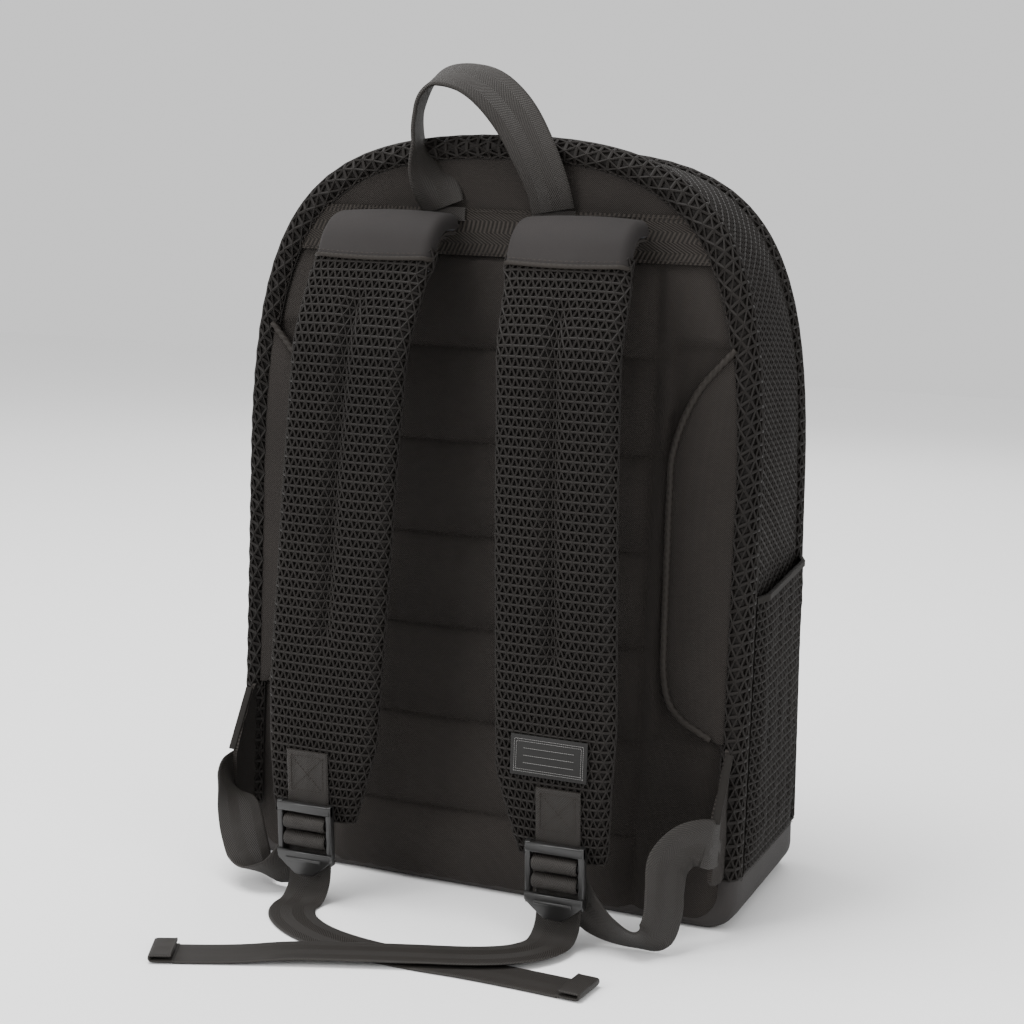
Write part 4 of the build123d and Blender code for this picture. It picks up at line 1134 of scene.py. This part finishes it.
fold = front_sheet("flap_fold", np.linspace(90, 101, 14), lambda up: flap_half - 0.5,
                   lambda x, up: -1.5 + 0.3 * np.sin(pi * (up - 90) / 11), 1.2, TWILL_CLOTH)
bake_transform(fold)
flap_lines = [stitches("flap_edge_stitch", on_front(arch(flap_half - 3, flap_top - 3, 500, 103), -0.9)),
              stitches("flap_fold_stitch",
                       on_front(np.stack([np.linspace(-100, 100, 160), np.full(160, 103.0)], 1), -1.0))]
wear_on(join("flap_stitches", *flap_lines), "front_flap", "webbing_cloth")


# %% Front pocket
def rounded_box(half_w, low, high, radius, count=200):
    """A closed outline with round corners, as (x, up)."""
    points = []
    for cx, cz, start in ((half_w - radius, high - radius, 0), (-half_w + radius, high - radius, 1),
                          (-half_w + radius, low + radius, 2), (half_w - radius, low + radius, 3)):
        for a in np.linspace(0, pi / 2, 14):
            points.append((cx + radius * cos(a + start * pi / 2), cz + radius * sin(a + start * pi / 2)))
    points = np.array(points + points[:1])
    run = lengths(points[None], 1)[0]
    steps = np.linspace(0, run[-1], count)
    return np.stack([np.interp(steps, run, points[:, 0]), np.interp(steps, run, points[:, 1])], axis=1)


rings = []
zip_up = 296.0
for inset, out in ((-0.3, -1.6), (-0.2, 2), (0, 6), (0.4, 9.5), (1.6, 12.4), (4.0, 14.2), (8, 15.2)):
    rings.append(on_front(rounded_box(95 - inset, 108 + inset, 325 - inset, 30), out))
outline = rounded_box(87, 116, 317, 24)
middle = np.array([0, 216.5])
for share in np.linspace(0.94, 0.004, 22):
    ring = (outline - middle) * share + middle
    sag = 15.3 + 0.9 * (1 - share) + 0.7 * ripple(ring[:, 0], ring[:, 1], 6.0) * (1 - share)
    sag -= 1.3 * np.exp(-((ring[:, 1] - zip_up) / 4.2) ** 2) * (np.abs(ring[:, 0]) < 79)
    points = np.array([on_front(ring[k:k + 1], sag[k])[0] for k in range(len(ring))])
    rings.append(points)
front_pocket = sheet_mesh("front_pocket_cloth", np.array(rings), 1.6, TWILL_CLOTH, away=(0, 0, 220),
                          level_weave=True)
wear_on(front_pocket, "front_flap", "twill_cloth", "front_pocket")
pocket_tape = front_sheet("pocket_zip_cloth", np.linspace(zip_up - 4.6, zip_up + 4.6, 8), lambda up: 78.0,
                          lambda x, up: 16.1 - 0.25 * np.abs(up - zip_up) / 4.6 + 0 * x, 2.2, ZIP_TAPE)
wear_on(pocket_tape, "front_flap", "zip_tape", "pocket_zip_tape")
line = np.stack([np.linspace(-77, 77, 300), np.full(300, zip_up)], axis=1)
wear_on(stitches("pocket_zip_teeth", on_front(line, 16.5), pitch=1.5, long=1.0, wide=2.6, high=1.2,
                 material=PLASTIC),
        "front_flap", "zip_tape")
pocket_edge = on_front(rounded_box(96, 107, 326, 31, 300), -0.6)
pocket_lines = [rope("pocket_piping", pocket_edge, 1.6, BINDING, turn=900)]
for offset in (-7.6, 7.6):
    run_line = np.stack([np.linspace(-80, 80, 200), np.full(200, zip_up + offset)], axis=1)
    pocket_lines.append(stitches(f"pocket_line_{offset}", on_front(run_line, 16.0)))
wear_on(join("pocket_trim", *pocket_lines), "front_flap", "webbing_cloth")


# %% Sliders and pulls
def bevelled(name, outline, low, high, edge, place, material, angle=50):
    """A flat plate from an outline, with its top edges rounded off."""
    outline = np.array(outline, float)
    centre = outline.mean(axis=0)
    if np.sum(outline[:, 0] * np.roll(outline[:, 1], -1) - outline[:, 1] * np.roll(outline[:, 0], -1)) < 0:
        outline = outline[::-1]
    size = np.abs(outline - centre).max(axis=0)
    layers = []
    for inset, out in ((edge, low), (0.3 * edge, low + 0.3 * edge), (0, low + edge), (0, high - edge),
                       (0.3 * edge, high - 0.3 * edge), (edge, high)):
        layers.append(place((outline - centre) * (1 - inset / size) + centre, out))
    count = len(outline)
    verts = np.concatenate(layers)
    faces = []
    for j in range(len(layers) - 1):
        for k in range(count):
            m = (k + 1) % count
            faces.append((j * count + k, j * count + m, (j + 1) * count + m, (j + 1) * count + k))
    faces.append(tuple(range(count - 1, -1, -1)))
    faces.append(tuple(range((len(layers) - 1) * count, len(layers) * count)))
    probe = np.array([verts[v] for v in faces[-1]])
    up = np.cross(probe[1] - probe[0], probe[2] - probe[1])
    if np.dot(up, layers[-1].mean(axis=0) - layers[0].mean(axis=0)) < 0:
        faces = [f[::-1] for f in faces]
    return add_mesh(name, verts, faces, material, None, angle)


for name, x, up, body in (("main_zip_left", -9.0, 396.6, "pack"), ("main_zip_right", 9.0, 396.6, "pack"),
                          ("pocket_zip", -70.0, 296.0, "front_flap")):
    low = 16.25 if name == "pocket_zip" else -3.15
    shell = np.array([(x - 4.5, up), (x - 3.9, up + 2.8), (x - 2, up + 3.9), (x + 1.5, up + 3.4),
                      (x + 4.4, up + 2.2),
                      (x + 4.4, up - 2.2), (x + 1.5, up - 3.4), (x - 2, up - 3.9), (x - 3.9, up - 2.8)])
    body_plate = bevelled(f"{name}_slider_shell", shell, low, low + 4.4, 0.8, on_front, ZIP_METAL)
    bail_line = spline([on_front(np.array([p[:2]]), p[2])[0] for p in
                        ((x, up + 2.6, low + 3.8), (x, up + 2.2, low + 6.6), (x, up, low + 7.6),
                         (x, up - 2.2, low + 6.6),
                         (x, up - 2.6, low + 3.8))], 24)
    bail = rope(f"{name}_bail", bail_line, 0.8, ZIP_METAL, turn=900, sides=8)
    wear_on(join(f"{name}_slider_metal", body_plate, bail), f"{name}_slider", "zip_metal", f"{name}_slider")
    box = box_mm(f"{name}_pull")
    centre_y, thick = (box[0][1] + box[1][1]) / 2, 1.7
    top, bottom = box[1][2], box[0][2]
    shape = rounded_box(3.6, bottom, top - 0.2, 3.0, 60)[:-1] * (1, 1) + (x, 0)
    pull = bevelled(f"{name}_pull_tab", shape, 0, thick, 0.5,
                    lambda outline, out, y=centre_y: np.stack(
                        [outline[:, 0], y - out + 0.85 + 0 * outline[:, 0], outline[:, 1]], 1),
                    RUBBER)
    wear_on(pull, f"{name}_pull", "pull_rubber", f"{name}_pull")
print("front finished")

# %% [markdown]
# ## Carry handle
# The handle is one piece of webbing. Its ends are sewn flat under the band and it turns over twice
# in the loop, so one side of the loop shows its face and the other its edge.

# %% Handle
HANDLE_FRAMES = (((33, 78.0, 391.2), (1, 0, 0)), ((36, 79.2, 399), (0.92, 0.35, 0)),
                 ((42, 82, 411), (0.55, 0.83, 0.05)),
                 ((46.5, 85, 427), (-0.2, 0.95, 0.05)), ((46.5, 86, 443), (-0.3, 0.95, 0)),
                 ((41.5, 86, 456), (-0.15, 0.93, -0.3)),
                 ((32, 85.5, 463.0), (-0.05, 0.9, -0.45)), ((16, 86, 462), (0.1, 0.8, -0.6)),
                 ((1, 87, 455), (0.35, 0.55, -0.75)),
                 ((-13, 87, 441), (0.75, 0.3, -0.6)), ((-24, 85.5, 422), (0.93, 0.12, -0.35)),
                 ((-31, 81.5, 404), (1, 0, -0.1)),
                 ((-33.5, 78.0, 391.2), (1, 0, 0)))
handle = framed_ribbon("carry_handle_webbing", HANDLE_FRAMES, 120, WEB_WIDTH, 2.6, WEBBING)
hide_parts("carry_handle")
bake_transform(handle)
anchors = []
for x in (33, -33.5):
    foot = [(x, 77.0, z) for z in np.linspace(384, 391.6, 6)]
    anchors.append(ribbon(f"handle_anchor_{x}", foot, np.tile((1.0, 0, 0), (6, 1)), WEB_WIDTH, 1.6,
                          WEBBING))
wear_on(join("handle_anchors", *anchors), "pack", "webbing_cloth")

# %% [markdown]
# ## Shoulder straps
# A strap is foam between a face of thick mesh and a backing. It leaves the anchor band, turns down
# and widens a little towards the top. Its mesh wraps both edges; a smooth cap of plain cloth is sewn
# over the top, and the lower end holds the buckle.

# %% Strap shape
SIDE_PATH = ((83.4, 381.0), (104.0, 381.0), (131.0, 318.0), (134.0, 240.0), (135.0, 86.0), (131.0, 46.0))
SIDE_RADII = (19.0, 60.0, 300.0, 120.0)


def rounded_path(points, radii, step=1.0):
    """A path of straight runs whose corners are arcs, cut into even steps."""
    path = [np.array(points[0], float)]
    for a, b, c, radius in zip(points, points[1:], points[2:], radii):
        a, b, c = (np.array(p, float) for p in (a, b, c))
        before, after = (a - b) / np.linalg.norm(a - b), (c - b) / np.linalg.norm(c - b)
        turn = np.arccos(np.clip(before @ after, -1, 1))
        reach = radius / np.tan(turn / 2)
        middle = b + (before + after) / np.linalg.norm(before + after) * radius / np.sin(turn / 2)
        start, end = b + before * reach - middle, b + after * reach - middle
        angle = np.arccos(np.clip(start @ end / radius**2, -1, 1))
        for t in np.linspace(0, 1, 12):
            path.append(middle + (start * sin((1 - t) * angle) + end * sin(t * angle)) / sin(angle))
    path.append(np.array(points[-1], float))
    path = np.array(path)
    run = lengths(path[None], 1)[0]
    steps = np.linspace(0, run[-1], int(run[-1] / step))
    return np.stack([np.interp(steps, run, path[:, k]) for k in range(2)], axis=1)


strap_path = rounded_path(SIDE_PATH, SIDE_RADII)
strap_run = lengths(strap_path[None], 1)[0]
slope = np.gradient(strap_path, axis=0)
slope /= np.linalg.norm(slope, axis=1, keepdims=True)
strap_normal = np.stack([-slope[:, 1], slope[:, 0]], axis=1)


def strap_point(side, along, across, out):
    """A point of a strap: across runs from its inner (0) to its outer edge (1), out from its middle."""
    y, z, ny, nz = (np.interp(along, strap_run, v) for v in (*strap_path.T, *strap_normal.T))
    z_key = z if along > 45 else 400 - 19 * along / 45
    outer = np.interp(-z_key, (-400, -350, -240, -120, -46), (92, 94, 98, 103, 100))
    inner = np.interp(-z_key, (-400, -300, -180, -92, -46), (21, 29, 34, 38, 52))
    x = inner + (outer - inner) * across
    return (side * x, y + ny * out, z + nz * out)


TOTAL = float(strap_run[-1])
print("strap length", round(TOTAL, 1), "mm")


# %% Straps
def strap_section(width, half, channel, columns):
    """Across positions and heights round the face of a strap, from back edge to back edge."""
    reach = half - 0.6
    u = np.linspace(-1, 1, 200)
    flat = width / 2 - 5.0
    points = []
    for a in u:
        s = a * (flat + 7.2)
        if abs(s) <= flat:
            crown = 1.3 * (1 - (s / flat) ** 2)
            dip = channel * np.exp(-(s / 4.6) ** 2)
            points.append((s, half - 1.3 + crown - dip))
        else:
            t = (abs(s) - flat) / 7.2 * pi * 0.62
            points.append((np.sign(s) * (flat + 5.0 * sin(t)), half - 1.3 - reach * 0.9 * (1 - cos(t))))
    points = np.array(points)
    run = lengths(points[None], 1)[0]
    steps = np.linspace(0, run[-1], columns)
    return np.stack([np.interp(steps, run, points[:, 0]) / width + 0.5,
                     np.interp(steps, run, points[:, 1])], axis=1)


def strap_rows(side, start, end, count, half, columns, dip=4.2):
    rows = []
    for along in np.linspace(start, end, count):
        z = np.interp(along, strap_run, strap_path[:, 1])
        inner, outer = (abs(strap_point(side, along, k, 0)[0]) for k in (0, 1))
        channel = dip * np.clip((345 - z) / 12, 0, 1) * np.clip((z - 145) / 12, 0, 1)
        taper = np.clip((TOTAL - along) / 9, 0.35, 1)
        rows.append([strap_point(side, along, a, h * taper)
                     for a, h in strap_section(outer - inner, half, channel, columns)])
    return rows


for name, side in SIDES:
    body = f"strap_{name}"
    rows = strap_rows(side, 33, TOTAL - 1.5, 63, 4.9, 35)
    face = knit(f"strap_knit_{name}", rows, away=(side * 65, 100, 150), thick=2.0, hole=0.62, depth=1.7)
    wear_on(face, body, "quilt_mesh", f"strap_pad_{name}", f"strap_mesh_{name}")
    foam = sheet_mesh(f"strap_foam_{name}", np.array(strap_rows(side, 1, TOTAL - 3, 90, 3.2, 20)), 3.0,
                      LINING,
                      away=(side * 65, 100, 150))
    wear_on(foam, body, "lining")
    back = [[strap_point(side, along, a, -6.0 + 1.6 * (2 * a - 1) ** 6)
             for a in np.linspace(0.015, 0.985, 16)]
            for along in np.linspace(1, TOTAL - 2, 110)]
    backing = sheet_mesh(f"strap_back_cloth_{name}", np.array(back), 1.3, TWILL_CLOTH,
                         away=(side * 65, 200, 250))
    wear_on(backing, body, "twill_cloth", f"strap_backing_{name}")
    # cap of plain cloth with a round lower edge and a light piping along it
    cap, hem_line, columns = [], [], 41
    for i, a in enumerate(np.linspace(0, 1, columns)):
        end = 39 + 2.5 * sin(pi * a)
        column = []
        for along in np.linspace(0.5, end, 40):
            inner, outer = (abs(strap_point(side, along, k, 0)[0]) for k in (0, 1))
            section = strap_section(outer - inner, 7.6, 0, columns)
            column.append(strap_point(side, along, *(section[i] + (0, 0.5 * (1 - along / end)))))
        cap.append(column)
        hem_line.append(column[-1])
    cap = sheet_mesh(f"strap_cap_cloth_{name}", np.transpose(np.array(cap), (1, 0, 2)), 1.2, CAP_CLOTH,
                     away=(side * 65, 80, 300))
    wear_on(cap, body, "twill_cloth", f"strap_cap_{name}")
    trim = [rope(f"cap_piping_{name}", spline(hem_line, 120), 1.3, PIPING, turn=900),
            stitches(f"cap_stitch_{name}", [(x, y + 1.1, z + 2.6) for x, y, z in hem_line[5:-5]])]
    wear_on(join(f"cap_trim_{name}", *trim), body, "piping_cord")
    patch = [[strap_point(side, along, a, -7.2) for a in np.linspace(0.05, 0.95, 14)]
             for along in np.linspace(6, 62, 40)]
    patch = sheet_mesh(f"strap_patch_cloth_{name}", np.array(patch), 1.0, BOOT_CLOTH,
                       away=(side * 65, 200, 350))
    wear_on(patch, body, "twill_cloth", f"strap_patch_{name}")
    root = ribbon(f"strap_root_web_{name}", [(side * 56.5, y, 381) for y in np.linspace(76.9, 84.5, 8)],
                  np.tile((1.0, 0, 0), (8, 1)), 68, 2.6, WEBBING)
    wear_on(root, body, "webbing_cloth", f"strap_root_{name}")
print("straps finished")

# %% [markdown]
# ## Buckles
# Each ladder lock hangs from a folded tab of webbing. The plate has thick rounded rails, a top bar,
# two round bars and a pointed lip to lift it with. The running webbing goes round the lower bar.


# %% Buckles and label
def buckle_point(side, x, v, w):
    """A point by the buckle: v runs up the strap and w outwards."""
    return np.array((side * 76 + x, 133.79 + 0.0995 * v + 0.995 * w, 74 + 0.995 * v - 0.0995 * w))


def buckle_plate(side):
    return lambda outline, out: np.array([buckle_point(side, x, v, out) for x, v in outline])


def wrap(name, side, bar, stop, material):
    """Webbing that lies against the strap and wraps a bar."""
    angle = np.linspace(-0.5 * pi, 1.35 * pi, 30) if stop > bar else np.linspace(-0.5 * pi, -2.35 * pi, 30)
    loop = [(bar - 3.4 * cos(a), 10.6 + 3.4 * sin(a)) for a in angle]
    flat = [(stop + (bar - stop) * t, 7.2) for t in np.linspace(0, 1, 16)[:-1]]
    points = [buckle_point(side, 0, v, w) for v, w in flat + loop]
    return ribbon(name, points, np.tile((1.0, 0, 0), (len(points), 1)), WEB_WIDTH, 1.9, material)


for name, side in SIDES:
    body = f"strap_{name}"
    tab = wrap(f"tab_{name}", side, -27, 14, WEBBING)
    box_seam = [(-10, 11), (10, 11), (10, -9), (-10, -9), (-10, 11), (10, -9), (10, 11), (-10, -9)]
    seam_points = []
    for (xa, va), (xb, vb) in zip(box_seam, box_seam[1:]):
        seam_points += [buckle_point(side, xa + (xb - xa) * t, va + (vb - va) * t, 8.3)
                        for t in np.linspace(0, 1, 14)[:-1]]
    box_stitch = stitches(f"tab_stitch_{name}", seam_points, pitch=2.2, long=1.7, wide=0.7, high=0.5)
    wear_on(join(f"buckle_tab_web_{name}", tab, box_stitch), body, "webbing_cloth", f"buckle_tab_{name}")
    wear_on(wrap(f"webbing_wrap_web_{name}", side, -37, -50, WEBBING), body, "webbing_cloth",
            f"webbing_wrap_{name}")
    place = buckle_plate(side)
    metal = []
    for x in (-15.4, 15.4):
        rail = np.array([(x - 1.6, -15), (x + 1.6, -15), (x + 1.6, -50), (x - 1.6, -50)])
        metal.append(bevelled(f"rail_{name}_{x}", rail, 8.2, 13.2, 0.7, place, PLASTIC))
    top_bar = np.array([(-17, -15.4), (17, -15.4), (17, -20.8), (-17, -20.8)])
    metal.append(bevelled(f"top_bar_{name}", top_bar, 9.2, 13.6, 1.0, place, PLASTIC))
    lip = np.array([(-17, -43.5), (17, -43.5), (17, -47.5), (12, -52), (5.5, -57.2), (-5.5, -57.2),
                    (-12, -52), (-17, -47.5)])
    metal.append(bevelled(f"lip_{name}", lip, 11.8, 14.8, 0.9, place, PLASTIC))
    ridge = np.array([(-11, -47), (11, -47), (11, -49), (-11, -49)])
    metal.append(bevelled(f"ridge_{name}", ridge, 14.4, 15.7, 0.5, place, PLASTIC))
    for v in (-27, -37):
        bar_line = [buckle_point(side, x, v, 10.6) for x in np.linspace(-15.5, 15.5, 8)]
        metal.append(rope(f"bar_{name}_{v}", bar_line, 2.2, PLASTIC, turn=900))
    wear_on(join(f"ladder_lock_plastic_{name}", *metal), body, "buckle_plastic", f"ladder_lock_{name}")

label = bevelled("strap_label_cloth", np.array([(-92, 92.5), (-48, 92.5), (-48, 114.5), (-92, 114.5)]),
                 141.9, 142.9, 0.2,
                 lambda outline, out: np.stack([outline[:, 0], 0 * outline[:, 0] + out, outline[:, 1]], 1),
                 LABEL)
wear_on(label, "strap_left", "label_cloth", "strap_label")
label_lines = []
for inset in (2.2, 3.4):
    frame_line = [(-92 + inset, 92.5 + inset), (-48 - inset, 92.5 + inset), (-48 - inset, 114.5 - inset),
                  (-92 + inset, 114.5 - inset)]
    frame_line = np.array([(x, 143.0, z) for x, z in frame_line + frame_line[:1]])
    label_lines.append(stitches(f"label_line_{inset}", frame_line, pitch=1.2, long=1.3, wide=0.35, high=0.2,
                                material=LABEL_LINE))
for z in (99.5, 103.5, 107.5):
    label_lines.append(stitches(f"label_row_{z}", [(-84, 143.0, z), (-56, 143.0, z)], pitch=1.2, long=1.3,
                                wide=0.6, high=0.2,
                                material=LABEL_LINE))
wear_on(join("label_lines", *label_lines), "strap_left", "label_cloth")

# %% [markdown]
# ## Floor and light
# A plain pale floor, one large soft light above, one over the viewer's shoulder, one at the side and
# one behind the bag.

# %% Floor, lights and world
pale = bpy.data.materials.new("pale_floor")
pale.use_nodes = True
shade = pale.node_tree.nodes["Principled BSDF"]
shade.inputs["Base Color"].default_value = (0.93, 0.93, 0.93, 1)
shade.inputs["Roughness"].default_value = 0.6
shade.inputs["Specular IOR Level"].default_value = 0.2
REACH = 4000
floor = add_mesh("floor", [(-REACH, -REACH, 0), (REACH, -REACH, 0), (REACH, REACH, 0), (-REACH, REACH, 0)],
                 [(0, 1, 2, 3)], pale)
for name, place, power, size in (("light_top", (0.5, 0.5, 2.3), 72, 1.3),
                                 ("light_front", (1.1, 2.2, 1.3), 36, 1.1),
                                 ("light_side", (-2.0, 1.2, 1.0), 14, 1.2),
                                 ("light_back", (0.3, -2.0, 1.6), 16, 1.6)):
    lamp = bpy.data.lights.new(name, "AREA")
    lamp.energy, lamp.size = power, size
    holder = bpy.data.objects.new(name, lamp)
    bpy.context.scene.collection.objects.link(holder)
    holder.location = place
    holder.rotation_euler = (Vector((0, 0, 0.2)) - Vector(place)).to_track_quat("-Z", "Y").to_euler()
world = bpy.data.worlds.new("studio")
world.use_nodes = True
world.node_tree.nodes["Background"].inputs["Color"].default_value = (1, 1, 1, 1)
world.node_tree.nodes["Background"].inputs["Strength"].default_value = 0.95
bpy.context.scene.world = world
